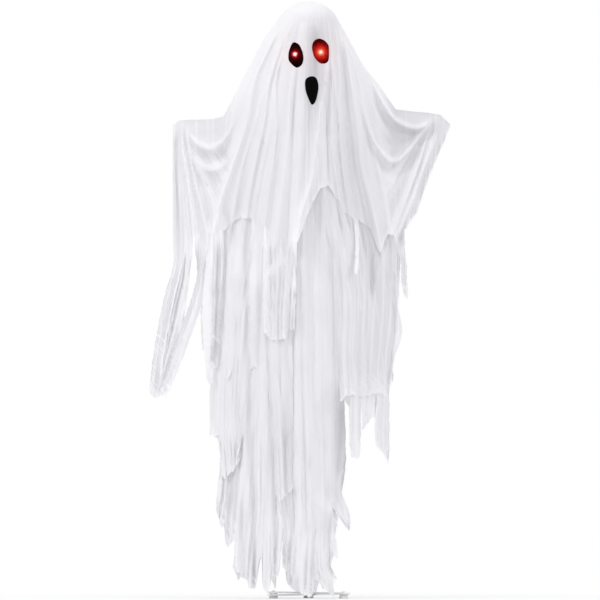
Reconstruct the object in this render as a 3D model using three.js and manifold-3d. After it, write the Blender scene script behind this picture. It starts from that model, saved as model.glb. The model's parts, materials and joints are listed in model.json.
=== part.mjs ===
// A life-size standing ghost prop, in millimetres, +Z up, facing -Y.
// A folding flat-bar base carries a three-piece pole; the pole carries a drive box that turns the head,
// a shoulder bar with two folding arms, and a white sheet with a ragged gown under it.
// The origin is on the floor, under the pole.
import * as THREE from "three";
import { mergeVertices } from "three/addons/utils/BufferGeometryUtils.js";
import Module from "manifold-3d";

const wasm = await Module();
wasm.setup();

// Clearances
const seat = 0.35; // between two pieces that rest on or in each other
const shellSplit = 0.3; // between the two halves of a moulded shell

// Folding base
const barLength = 340;
const barWidth = 32;
const barThick = 5;
const barSpacing = 0.4; // between the two crossing bars
const shortFootHeight = 8;
const footInset = 20; // from a bar's end to its foot
const footBottomRadius = 14;
const footTopRadius = 12;
const footStemRadius = 4;
const footCapRadius = 6.5;
const footCapHeight = 3;
const barYaw = 45; // degrees each bar stands off the X axis
const padRadius = 15; // centre foot under the pivot
const pivotRadius = 4;
const nutAcrossFlats = 13;
const nutHeight = 6.5;
const pivotThreadPast = 2; // bolt end above its nut

// Pole
const poleRadius = 11;
const poleWall = 1.2;
const spigotClearance = 0.35;
const spigotWall = 1.3;
const spigotLength = 55;
const lowerPoleTop = 480;
const middlePoleTop = 930;
const poleInBox = 25; // of the pole's top inside the drive box
const socketWall = 3.4;
const socketHeight = 85;
const socketCollarRadius = 15.8;
const socketCollarHeight = 5;
const socketFloorHeight = 9;
const socketFloorBore = 8.4;
const buttonRadius = 2.9;
const buttonHoleRadius = 3.3;
const buttonBelowJoint = 25;
const buttonProud = 1.3;
const buttonTravelSpace = 2.6;
const buttonFlangeInset = 1.35; // of the button's flange inside the spigot's wall
const buttonFlangeThick = 1.6;
const springHalfWidth = 2;
const springThick = 0.8;
const springLength = 24; // of the V spring below the button
const spigotShoulder = 6; // solid ring inside the tube over its spigot
const screwRadius = 3;
const screwHoleRadius = 3.4;
const knobRadius = 12;
const knobThick = 10;
const knobLobes = 5;
const screwHeight = 55; // of the thumb screw above the bars
const screwBossRadius = 7;
const screwBossReach = 5; // in front of the socket
const knobGap = 1.2; // between the boss and the knob

// Drive box
const boxBottom = 1320;
const boxHeight = 95;
const boxHalfWidth = 62;
const boxFront = 40;
const boxBack = 42;
const boxWall = 2.5;
const bossWall = 4.6;
const bossCeiling = 9; // wall between the pole's end and the neck shaft's end
const bossBearing = 12; // of the neck shaft held in the boss
const bushGrip = 3; // of the neck bush below the box's top wall
const gearModule = 2;
const gearTeeth = 27;
const pinionTeeth = 9;
const gearThick = 6;
const pinionThick = 10;
const gearHubRadius = 13;
const gearHubHeight = 18;
const gearHeight = 68; // of the gear's underside above the box's bottom
const gearBacklash = 0.3;
const motorRadius = 12.2;
const motorCanHeight = 26;
const gearboxWidth = 30;
const gearboxDepth = 26;
const gearboxHeight = 22;
const motorShaftRadius = 2.5;
const shelfThick = 2.6;
const shelfBelowGear = 5;
const cellRadius = 7.25;
const cellLength = 50.5;
const cellPitch = 15.6;
const cellCount = 3;
const cellCapRadius = 2.7;
const cellCapHeight = 1.5;
const bayWall = 1.6;
const bayMargin = 1.6;
const bayTopSpace = 3; // for the contact springs
const doorThick = 2.5;
const doorLap = 4;
const railWall = 2.6;
const railLip = 2;
const railLipThick = 1.6;
const doorStopThick = 2.4;
const doorGripHalfWidth = 12;
const doorGripProud = 1.4;
const doorGripHeight = 3;
const rooted = 0.5; // of a rib or grip sunk in the wall that it grows from
const speakerRadius = 20;
const speakerDepth = 14;
const speakerX = -30;
const speakerAboveBottom = 32;
const slotPitch = 6; // between the slots in front of the speaker
const slotReach = 16;
const slotHalf = 1.2;
const boardWidth = 50;
const boardHeight = 52;
const boardThick = 1.6;
const boardStandoff = 3.6;
const boardX = 29;
const boardRise = 3; // over the box's floor
const pillarRadius = 3; // of the pillars that carry the board
const pillarInset = 6;
const pillarHeight = 12; // above the box's bottom
const lensRadius = 5.6;
const lensReach = 11.8;
const lensBelowBay = 9; // of the lens's axis below the battery bay's top
const switchNub = 5;
const switchWidth = 4;
const switchSideClearance = 0.4;
const switchProud = 2.5;
const flangeThick = 1.6; // of the switch and of the try button
const switchTravel = 4;
const tryButtonRadius = 5;
const tryButtonProud = 3;
const boxScrewRadius = 1.6;
const boxScrewX = 54;
const boxScrewBelowTop = 9;
const boxScrewReach = 9; // behind the split between the shells
const boxScrewHead = 3.2;
const boxScrewHeadHeight = 2.2;
const screwPillarRadius = 4;

// Neck and head
const neckRadius = 8;
const neckBore = 6;
const neckTopDrop = 74; // of the neck shaft's end below the head's widest height
const bushWall = 3.6;
const bushFlange = 3;
const bushFlangeThick = 2.2;
const headRise = 268; // of the head's widest height over the shoulder bar
const headRadius = 96;
const headLowerReach = 132; // from the head's widest height down to its chin
const headDepthShare = 1.083; // front to back over side to side
const headWall = 2.5;
const headFloorDrop = 110; // of the head's floor below its widest height
const headNeckHole = 24.5;
const collarFlangeRadius = 34;
const collarFlangeThick = 4;
const collarHubRadius = 14;
const collarHubTop = 20;
const collarHubBottom = 12;
const eyeX = 40;
const eyeDrop = 57; // of the lamps below the head's widest height
const ledBezelRadius = 8.5;
const ledRadius = 5;
const ledProud = 15.8; // of the lamp's tip in front of the head shell
const ledTipLength = 7; // in front of its bezel
const ledLength = 31;
const wireRadius = 1.6;
const wireClear = 4.8; // of the wire's end over the boss

// Shoulders and arms
const shoulderBarRadius = 8;
const shoulderBarRise = 17; // of the shoulder bar's axis over the drive box
const shoulderBarBack = 25; // behind the pole's axis
const hingeX = 190;
const tabRadius = 12;
const tabThick = 5;
const tabLength = 40;
const tabSpacing = 0.4;
const hingeBoltRadius = 3;
const hingeHoleRadius = 3.4;
const hingeBoltHead = 6;
const wingSpan = 26;
const wingNutHeight = 7;
const armRadius = 7;
const armLength = 145; // from the hinge to the tube's end
const armTubeStart = 14;
const leftArmRise = -2.5; // degrees, the arms are bent by hand
const rightArmRise = 4;
const handCentre = 170; // from the hinge
const handHalfLength = 42;
const handHalfWidth = 25;
const handHalfThick = 15;
const clampHalfWidth = 20;
const clampWall = 6;
const saddleHalfWidth = 36;
const saddleFront = 9; // in front of the shoulder bar's axis
const saddleBack = 11;
const saddleBelowAxis = 2; // of the saddle's top below the shoulder bar's axis

// Sheet and gown
const cloth = 3.5; // thickness of each cloth solid
const leftCuff = 8; // of the sheet past the left hand
const rightCuff = 26;
const crownSeat = -0.4; // of the sheet over the head's true surface, whose facets lie inside it
const handSeat = 0.7;
const leftHandDip = 1.7; // the sheet's facets over the left hand sit this much lower
const hoodRise = 51; // of the hood's lower edge over the shoulder bar
const hoodToCape = 0.6; // slit between the part that turns with the head and the part that doesn't
const hoodReach = 262; // from the pole's axis
const sleeveRadius = 75; // of the slit round each arm's hinge
const sleeveSlit = 0.6;
const wingHalfDepth = 50;
const bodyHalfDepth = 118;
const bodyDepthReach = 200; // where the body's depth has run out into the arms'
const leanStart = 60; // from the pole's axis, where the sheet's middle plane starts to lean back
const ridgeRadius = 34; // roundness of the sheet where it lies over an arm
const shoulderRadius = 30; // more roundness over the body
const sheetColumns = 35;
const sheetRows = 9; // on each side of the ridge
const rowCrowding = 2.1; // power that draws the rows towards the ridge
const foldFocusRise = 100; // the folds run out from this point over the head's widest height
const foldRate = 34; // of the fold wave, per radian about the focus
const foldDepth = 9;
const foldStart = 110; // below the focus
const foldGrowth = 280; // height over which the folds reach their full depth
const flareRate = 0.045; // how fast the sheet widens below the head
const stripCurl = 2; // of a strip's middle in front of its edges
const patchThick = 1.6;
const gownInset = 14; // from the sheet's folds to the gown's
const gownFoldWidth = 62;
const gownFoldDepth = 11;
const gownTopDrop = 40; // of the gown's upper edge below the shoulder bar
const gownDepthAtTop = 76;
const gownSpread = 66; // more depth by the knees
const gownSpreadHeight = 900; // below the gown's top
const hemSpread = 26; // and more again at the floor
const hemSpreadHeight = 300;
const gownGap = 9.1; // between the outer faces of the two panels at the side seams
const gownColumns = 30;
const gownRows = 9;
const gownClearReach = 60; // of the gown in front of the sheet's line, once it is below the sheet's hem
const strapX = 120;
const strapWidth = 26;
const strapLap = 16; // of a strap on its panel
const eyePatchX = [-39, 37];
const eyePatchHalfWidth = [23, 26];
const eyePatchHalfHeight = 38;
const eyePatchRise = [-6, 6]; // of each patch over its lamp
const eyePatchTilt = [6, 7]; // degrees
const mouthX = 9;
const mouthDrop = 113; // of the mouth below the lamps
const mouthHalfWidth = 20;
const mouthHalfHeight = 43;
const mouthTilt = 3; // degrees

// Heights that follow from those above
const boxTop = boxBottom + boxHeight;
const shoulderBarHeight = boxTop + shoulderBarRise;
const headCentreHeight = shoulderBarHeight + headRise;
const headFloorHeight = headCentreHeight - headFloorDrop;
const neckTop = headCentreHeight - neckTopDrop;
const eyeHeight = headCentreHeight - eyeDrop;
const hoodBottom = shoulderBarHeight + hoodRise;
const foldFocusHeight = headCentreHeight + foldFocusRise;
const gownTop = shoulderBarHeight - gownTopDrop;

const finish = {
  base: { color: 0xe9e9e7, roughness: 0.45, metalness: 0.1 },
  steel: { color: 0x8f9296, roughness: 0.35, metalness: 0.9 },
  plastic: { color: 0x222326, roughness: 0.55, metalness: 0 },
  headPlastic: { color: 0xe9e6df, roughness: 0.6, metalness: 0 },
  gear: { color: 0xf0ead8, roughness: 0.45, metalness: 0 },
  rubber: { color: 0x1a1a1a, roughness: 0.85, metalness: 0 },
  board: { color: 0x1f5a34, roughness: 0.5, metalness: 0 },
  cell: { color: 0x3b3f44, roughness: 0.35, metalness: 0.4 },
  lamp: { color: 0xc01010, roughness: 0.15, metalness: 0 },
  sheet: { color: 0xf3f3f5, roughness: 0.9, metalness: 0 },
  felt: { color: 0x0c0b0b, roughness: 0.95, metalness: 0 },
};

// Solids and meshes
function solid(geometry) {
  const bare = geometry.index ? geometry.toNonIndexed() : geometry.clone();
  bare.deleteAttribute("normal");
  bare.deleteAttribute("uv");
  const merged = mergeVertices(bare, 1e-3);
  const mesh = new wasm.Mesh({
    numProp: 3,
    vertProperties: merged.attributes.position.array,
    triVerts: new Uint32Array(merged.index.array),
  });
  return new wasm.Manifold(mesh);
}

function geometryOf(manifold) {
  const mesh = manifold.getMesh();
  const geometry = new THREE.BufferGeometry();
  geometry.setAttribute("position", new THREE.BufferAttribute(new Float32Array(mesh.vertProperties), 3));
  geometry.setIndex(new THREE.BufferAttribute(new Uint32Array(mesh.triVerts), 1));
  geometry.computeVertexNormals();
  return geometry;
}

const ghost = new THREE.Group();

function add(name, shape, look) {
  const geometry = shape instanceof THREE.BufferGeometry ? shape : geometryOf(shape);
  const mesh = new THREE.Mesh(geometry, new THREE.MeshStandardMaterial(finish[look]));
  mesh.name = name;
  ghost.add(mesh);
  return mesh;
}

// A box between two corners.
function block(x0, x1, y0, y1, z0, z1) {
  const geometry = new THREE.BoxGeometry(x1 - x0, y1 - y0, z1 - z0);
  return solid(geometry.translate((x0 + x1) / 2, (y0 + y1) / 2, (z0 + z1) / 2));
}

// A solid of revolution about +Z from [radius, height] points, which run upwards on the outside.
function turned(points, sides = 16) {
  const profile = points.map(([r, z]) => new THREE.Vector2(r, z));
  return new THREE.LatheGeometry(profile, sides).rotateX(Math.PI / 2);
}

function disc(radius, z0, z1, sides = 16) {
  return solid(turned([[0, z0], [radius, z0], [radius, z1], [0, z1]], sides));
}

// The same along +Y or +X, through a centre.
function alongY(radius, x, z, y0, y1, sides = 12) {
  const geometry = turned([[0, y0], [radius, y0], [radius, y1], [0, y1]], sides);
  return solid(geometry.rotateX(-Math.PI / 2).translate(x, 0, z));
}

function alongX(radius, y, z, x0, x1, sides = 16) {
  const geometry = turned([[0, x0], [radius, x0], [radius, x1], [0, x1]], sides);
  return solid(geometry.rotateY(Math.PI / 2).translate(0, y, z));
}

// Base
const lowerBarBottom = shortFootHeight;
const upperBarBottom = lowerBarBottom + barThick + barSpacing;
const upperBarTop = upperBarBottom + barThick;
const footReach = barLength / 2 - footInset;

function baseBar(bottom) {
  const ends = barLength / 2 - barWidth / 2;
  let bar = block(-ends, ends, -barWidth / 2, barWidth / 2, bottom, bottom + barThick);
  for (const side of [-1, 1]) {
    const round = disc(barWidth / 2, bottom, bottom + barThick).translate([side * ends, 0, 0]);
    const hole = disc(footStemRadius + seat, bottom - 1, bottom + barThick + 1);
    bar = bar.add(round).subtract(hole.translate([side * footReach, 0, 0]));
  }
  return bar.subtract(disc(pivotRadius + seat, bottom - 1, bottom + barThick + 1));
}

function foot(barBottom) {
  const top = barBottom - seat;
  const cap = barBottom + barThick + seat;
  return turned([
    [0, 0],
    [footBottomRadius, 0],
    [footTopRadius, top],
    [footStemRadius, top],
    [footStemRadius, cap],
    [footCapRadius, cap],
    [footCapRadius * 0.7, cap + footCapHeight],
    [0, cap + footCapHeight],
  ], 12);
}

function placeBar(name, feet, bottom, yaw) {
  const turn = THREE.MathUtils.degToRad(yaw);
  add(name, geometryOf(baseBar(bottom)).rotateZ(turn), "base");
  feet.forEach((footName, i) => {
    const side = i === 0 ? -1 : 1;
    add(footName, foot(bottom).translate(side * footReach, 0, 0).rotateZ(turn), "rubber");
  });
}

function makeBase() {
  placeBar("base_bar_upper", ["foot_back_left", "foot_front_right"], upperBarBottom, -barYaw);
  placeBar("base_bar_lower", ["foot_front_left", "foot_back_right"], lowerBarBottom, barYaw);
  const nutBottom = upperBarTop + seat;
  const nutTop = nutBottom + nutHeight;
  const bolt = disc(padRadius, 0, lowerBarBottom - seat).add(disc(pivotRadius, 1, nutTop + pivotThreadPast));
  add("pivot_bolt", bolt, "base");
  const nutBore = disc(pivotRadius + seat, nutBottom - 1, nutTop + 1);
  const nutCorner = nutAcrossFlats / Math.sqrt(3);
  add("pivot_nut", disc(nutCorner, nutBottom, nutTop, 6).subtract(nutBore), "steel");
  makeSocket();
}

const socketBottom = upperBarTop + seat;
const socketFloorTop = socketBottom + socketFloorHeight;
const poleBottom = socketFloorTop + seat;
const socketRadius = poleRadius + seat + socketWall;

function makeSocket() {
  const collarTop = socketBottom + socketCollarHeight;
  const top = socketBottom + socketHeight;
  const bore = poleRadius + seat;
  const profile = [
    [socketFloorBore, socketBottom],
    [socketCollarRadius, socketBottom],
    [socketCollarRadius, collarTop],
    [socketRadius, collarTop],
    [socketRadius, top],
    [bore, top],
    [bore, socketFloorTop],
    [socketFloorBore, socketFloorTop],
    [socketFloorBore, socketBottom],
  ];
  const z = upperBarTop + screwHeight;
  const bossFront = socketRadius + screwBossReach;
  const inside = disc(bore + 0.5, z - 2 * screwBossRadius, z + 2 * screwBossRadius);
  const boss = alongY(screwBossRadius, 0, z, -bossFront, -(bore + 1)).subtract(inside);
  const hole = alongY(screwHoleRadius, 0, z, -bossFront - 1, 0);
  add("pole_socket", solid(turned(profile)).add(boss).subtract(hole), "base");

  const knobFront = bossFront + knobGap + knobThick;
  const lobes = new THREE.Shape();
  const steps = knobLobes * 8;
  for (let i = 0; i < steps; i++) {
    const a = (i / steps) * 2 * Math.PI;
    const r = knobRadius * (0.88 + 0.12 * Math.cos(knobLobes * a));
    if (i === 0) lobes.moveTo(r * Math.cos(a), r * Math.sin(a));
    else lobes.lineTo(r * Math.cos(a), r * Math.sin(a));
  }
  const knob = new THREE.ExtrudeGeometry(lobes, { depth: knobThick, bevelEnabled: false });
  knob.rotateX(Math.PI / 2).translate(0, -(bossFront + knobGap), z);
  const shank = alongY(screwRadius, 0, z, -(knobFront - 1), -(poleRadius + seat));
  add("socket_thumb_screw", solid(knob).add(shank), "plastic");
}

// Pole
const poleBore = poleRadius - poleWall;
const spigotRadius = poleBore - spigotClearance;
const poleTop = boxBottom + boxWall + poleInBox;

function poleTube(bottom, top, withSpigot) {
  const spigotBore = spigotRadius - spigotWall;
  if (!withSpigot) {
    const walls = [[poleBore, bottom], [poleRadius, bottom], [poleRadius, top], [poleBore, top]];
    return solid(turned([...walls, walls[0]]));
  }
  const shoulder = bottom + spigotShoulder;
  return solid(
    turned([
      [spigotBore, bottom - spigotLength],
      [spigotRadius, bottom - spigotLength],
      [spigotRadius, bottom],
      [poleRadius, bottom],
      [poleRadius, top],
      [poleBore, top],
      [poleBore, shoulder],
      [spigotBore, shoulder],
      [spigotBore, bottom - spigotLength],
    ]),
  );
}

// A snap button with its V spring, inside the joint below a height.
function snapButton(jointHeight) {
  const z = jointHeight - buttonBelowJoint;
  const flangeBack = spigotRadius - spigotWall - buttonFlangeInset;
  const pin = alongY(buttonRadius, 0, z, flangeBack - 1, poleRadius + buttonProud);
  const flange = alongY(buttonRadius + 1, 0, z, flangeBack - buttonFlangeThick, flangeBack);
  const legFront = flangeBack - 1;
  const legBack = -(spigotRadius - spigotWall - buttonTravelSpace - 1);
  const bend = z - springLength;
  const near = block(-springHalfWidth, springHalfWidth, legFront - springThick, legFront, bend, z + 1);
  const far = block(-springHalfWidth, springHalfWidth, legBack, legBack + springThick, bend, z - 6);
  const turn = block(-springHalfWidth, springHalfWidth, legBack, legFront, bend - springThick, bend + 0.1);
  return pin.add(flange).add(near).add(far).add(turn);
}

function makePole() {
  const middleBottom = lowerPoleTop + seat;
  const upperBottom = middlePoleTop + seat;
  const sections = [
    ["pole_lower", poleTube(poleBottom, lowerPoleTop, false), [lowerPoleTop]],
    ["pole_middle", poleTube(middleBottom, middlePoleTop, true), [lowerPoleTop, middlePoleTop]],
    ["pole_upper", poleTube(upperBottom, poleTop, true), [middlePoleTop]],
  ];
  for (const [name, tube, joints] of sections) {
    let made = tube;
    for (const joint of joints) {
      made = made.subtract(alongY(buttonHoleRadius, 0, joint - buttonBelowJoint, 1, poleRadius + 2));
    }
    add(name, made, "base");
  }
  add("snap_button_lower", snapButton(lowerPoleTop), "steel");
  add("snap_button_upper", snapButton(middlePoleTop), "steel");
}

// Drive box
const bossRadius = poleRadius + seat + bossWall;
const neckBottom = poleTop + seat + bossCeiling + seat;
const bossTop = neckBottom + bossBearing;
const wireBottom = bossTop + wireClear;
const gearBottom = boxBottom + gearHeight;
const shelfTop = gearBottom - shelfBelowGear;
const shelfBottom = shelfTop - shelfThick;
const motorX = (gearModule * (gearTeeth + pinionTeeth)) / 2;
const bayHalfWidth = (cellPitch * (cellCount - 1)) / 2 + cellRadius + seat;
const bayBottom = boxBottom + boxWall + bayMargin + 2;
const bayTop = bayBottom + cellLength + bayTopSpace;
const bayFloor = boxBack - seat - 2 * cellRadius;
const boardBack = -(boxFront - boxWall) + boardStandoff + seat;
const sideControlY = -20;
const sideControlZ = boxBottom + 45;
const boxScrewZ = boxTop - boxScrewBelowTop;
const lensHeight = bayTop - lensBelowBay;
const saddleTop = shoulderBarHeight - saddleBelowAxis;

// Spans that run right through a wall of the box
const boxFar = 2 * boxHalfWidth;
const frontWall = [-boxFront - 1, -boxFront + boxWall + 1];
const leftWall = [-boxHalfWidth - 1, -boxHalfWidth + boxWall + 1];
const rightWall = [boxHalfWidth - boxWall - 1, boxHalfWidth + 1];

// The space that the shoulder bar lies in, cut from the saddle and from the clamp.
function barGroove() {
  const end = saddleHalfWidth + 1;
  return alongX(shoulderBarRadius + seat, shoulderBarBack, shoulderBarHeight, -end, end);
}

function boxShell() {
  let shell = block(-boxHalfWidth, boxHalfWidth, -boxFront, boxBack, boxBottom, boxTop);
  const inside = block(
    -boxHalfWidth + boxWall,
    boxHalfWidth - boxWall,
    -boxFront + boxWall,
    boxBack - boxWall,
    boxBottom + boxWall,
    boxTop - boxWall,
  );
  shell = shell.subtract(inside).add(disc(bossRadius, boxBottom + 1, bossTop));
  shell = shell.subtract(disc(poleRadius + seat, boxBottom - 1, poleTop + seat));
  shell = shell.subtract(disc(neckRadius + seat, neckBottom - seat, bossTop + 1));
  shell = shell.subtract(disc(neckRadius + bushWall + seat + seat, boxTop - boxWall - 1, boxTop + 1));
  for (const side of [-1, 1]) {
    const x = side * boxScrewX;
    shell = shell.add(alongY(screwPillarRadius, x, boxScrewZ, -boxFront + 1, boxBack - 1));
    shell = shell.subtract(alongY(boxScrewRadius + seat, x, boxScrewZ, -boxFront - 1, boxScrewReach + 1));
  }
  return shell;
}

function boxFrontShell(shell) {
  let half = shell.intersect(block(-boxFar, boxFar, -boxFar, -shellSplit / 2, boxBottom - 1, boxTop + 1));
  const speakerZ = boxBottom + speakerAboveBottom;
  for (let i = -2; i <= 2; i++) {
    const z = speakerZ + i * slotPitch;
    const reach = Math.sqrt(slotReach * slotReach - (i * slotPitch) ** 2);
    half = half.subtract(block(speakerX - reach, speakerX + reach, ...frontWall, z - slotHalf, z + slotHalf));
  }
  for (const side of [-1, 1]) {
    const x = boardX + side * (boardWidth / 2 - pillarInset);
    half = half.add(alongY(pillarRadius, x, boxBottom + pillarHeight, -boxFront + 1, boardBack - seat, 12));
  }
  half = half.subtract(alongY(lensRadius + seat, boardX, lensHeight, ...frontWall));
  const slot = switchTravel + switchNub / 2 + seat;
  const side = switchWidth / 2 + switchSideClearance;
  half = half.subtract(
    block(...leftWall, sideControlY - side, sideControlY + side, sideControlZ - slot, sideControlZ + slot),
  );
  return half.subtract(alongX(tryButtonRadius + seat, sideControlY, sideControlZ, ...rightWall));
}

function boxBackShell(shell) {
  let half = shell.intersect(block(-boxFar, boxFar, shellSplit / 2, boxFar, boxBottom - 1, boxTop + 1));
  const wallInside = boxBack - boxWall;
  const wallRoot = boxBack - rooted;
  const bayOutside = bayHalfWidth + bayWall;
  const bayFront = bayFloor - bayWall;
  const bay = block(-bayOutside, bayOutside, bayFront, wallRoot, bayBottom - bayWall, bayTop + bayWall);
  half = half.add(bay).subtract(block(-bayHalfWidth, bayHalfWidth, bayFloor, boxBack + 1, bayBottom, bayTop));
  // shelf that the gearbox hangs under
  const shelfLeft = motorX - gearboxWidth / 2;
  const shelf = block(shelfLeft, boxHalfWidth - 1, shellSplit / 2, wallInside + 1, shelfBottom, shelfTop);
  const shaftHole = disc(motorShaftRadius + 2, shelfBottom - 1, shelfTop + 1).translate([motorX, 0, 0]);
  half = half.add(shelf.subtract(shaftHole));
  // saddle for the shoulder bar
  const saddleSpan = [shoulderBarBack - saddleFront, shoulderBarBack + saddleBack];
  const saddle = block(-saddleHalfWidth, saddleHalfWidth, ...saddleSpan, boxTop - 1, saddleTop);
  half = half.add(saddle).subtract(barGroove());
  // rails for the battery door
  const railInside = bayHalfWidth + doorLap + seat;
  const railBack = boxBack + seat + doorThick + seat;
  const railTop = bayTop + doorLap;
  for (const side of [-1, 1]) {
    const [a, b] = side < 0 ? [-railInside - railWall, -railInside] : [railInside, railInside + railWall];
    const [c, d] = side < 0 ? [a, -railInside + railLip] : [railInside - railLip, b];
    half = half.add(block(a, b, wallRoot, railBack + railLipThick, boxBottom + 1, railTop));
    half = half.add(block(c, d, railBack, railBack + railLipThick, boxBottom + 1, railTop));
  }
  const railOutside = railInside + railWall;
  const stopBack = railBack + railLipThick;
  return half.add(block(-railOutside, railOutside, wallRoot, stopBack, railTop, railTop + doorStopThick));
}

function makeBox() {
  const shell = boxShell();
  add("drive_box_front", boxFrontShell(shell), "plastic");
  add("drive_box_back", boxBackShell(shell), "plastic");
  for (const [name, x] of [["box_screw_left", -boxScrewX], ["box_screw_right", boxScrewX]]) {
    const headBack = -boxFront - seat;
    const head = alongY(boxScrewHead, x, boxScrewZ, headBack - boxScrewHeadHeight, headBack, 16);
    add(name, head.add(alongY(boxScrewRadius, x, boxScrewZ, -boxFront - 1, boxScrewReach, 12)), "steel");
  }
  const clampBottom = saddleTop + seat;
  const clampTop = shoulderBarHeight + shoulderBarRadius + clampWall / 2;
  const clamp = block(
    -clampHalfWidth,
    clampHalfWidth,
    shoulderBarBack - shoulderBarRadius - clampWall / 2,
    shoulderBarBack + shoulderBarRadius + clampWall / 2,
    clampBottom,
    clampTop,
  );
  const neckSpace = disc(neckRadius + 1, clampBottom - 1, clampTop + 1);
  add("bar_clamp", clamp.subtract(barGroove()).subtract(neckSpace), "plastic");
}

// Involute gear outline, with a tooth pointing along +X.
function gearShape(teeth, bore) {
  const pitch = (gearModule * teeth) / 2;
  const pressure = THREE.MathUtils.degToRad(20);
  const base = pitch * Math.cos(pressure);
  const tip = pitch + gearModule * 0.95;
  const root = pitch - gearModule * 1.25;
  const involute = (r) => {
    const a = Math.acos(Math.min(1, base / r));
    return Math.tan(a) - a;
  };
  const halfAtPitch = Math.PI / (2 * teeth) - gearBacklash / 2 / pitch;
  const halfAt = (r) => halfAtPitch + involute(pitch) - involute(Math.max(r, base));
  const flank = 1;
  const shape = new THREE.Shape();
  let first = true;
  const point = (r, a) => {
    if (first) shape.moveTo(r * Math.cos(a), r * Math.sin(a));
    else shape.lineTo(r * Math.cos(a), r * Math.sin(a));
    first = false;
  };
  for (let tooth = 0; tooth < teeth; tooth++) {
    const middle = (tooth / teeth) * 2 * Math.PI;
    const start = Math.max(base, root);
    if (root < start) point(root, middle - halfAt(start));
    for (let i = 0; i <= flank; i++) {
      const r = start + ((tip - start) * i) / flank;
      point(r, middle - halfAt(r));
    }
    for (let i = flank; i >= 0; i--) {
      const r = start + ((tip - start) * i) / flank;
      point(r, middle + halfAt(r));
    }
    if (root < start) point(root, middle + halfAt(start));
  }
  const hole = new THREE.Path();
  hole.absarc(0, 0, bore, 0, 2 * Math.PI, true);
  shape.holes.push(hole);
  return shape;
}

function makeDrive() {
  const neckHole = neckRadius + seat;
  const gear = new THREE.ExtrudeGeometry(gearShape(gearTeeth, neckHole), {
    depth: gearThick,
    bevelEnabled: false,
    curveSegments: 8,
  }).translate(0, 0, gearBottom);
  const hubBottom = gearBottom - (gearHubHeight - gearThick) / 2;
  const hubTop = hubBottom + gearHubHeight;
  const hub = disc(gearHubRadius, hubBottom, hubTop).subtract(disc(neckHole, hubBottom - 1, hubTop + 1));
  add("neck_gear", solid(gear).add(hub), "gear");

  const pinion = new THREE.ExtrudeGeometry(gearShape(pinionTeeth, motorShaftRadius + seat), {
    depth: pinionThick,
    bevelEnabled: false,
    curveSegments: 5,
  });
  const pinionBottom = gearBottom - (pinionThick - gearThick) / 2;
  pinion.rotateZ(Math.PI + Math.PI / pinionTeeth).translate(motorX, 0, pinionBottom);
  add("motor_pinion", pinion, "gear");

  const gearboxTop = shelfBottom - seat;
  const gearboxBottom = gearboxTop - gearboxHeight;
  const body = block(
    motorX - gearboxWidth / 2,
    motorX + gearboxWidth / 2,
    -gearboxDepth / 2,
    gearboxDepth / 2,
    gearboxBottom,
    gearboxTop,
  );
  const can = disc(motorRadius, gearboxBottom - motorCanHeight, gearboxBottom + 1).translate([motorX, 0, 0]);
  const shaftTop = gearBottom + pinionThick + 1;
  const shaft = disc(motorShaftRadius, gearboxTop - 1, shaftTop).translate([motorX, 0, 0]);
  add("neck_motor", body.add(can).add(shaft), "steel");

  const bushOuter = neckRadius + seat + bushWall;
  const bushBottom = boxTop - boxWall - bushGrip;
  const bush = [
    [neckHole, bushBottom],
    [bushOuter, bushBottom],
    [bushOuter, boxTop + seat],
    [bushOuter + bushFlange, boxTop + seat],
    [bushOuter + bushFlange, boxTop + seat + bushFlangeThick],
    [neckHole, boxTop + seat + bushFlangeThick],
    [neckHole, bushBottom],
  ];
  add("neck_bush", turned(bush), "gear");
  const shaftTube = [
    [neckBore, neckBottom],
    [neckRadius, neckBottom],
    [neckRadius, neckTop],
    [neckBore, neckTop],
    [neckBore, neckBottom],
  ];
  add("neck_shaft", turned(shaftTube), "steel");
}

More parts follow.
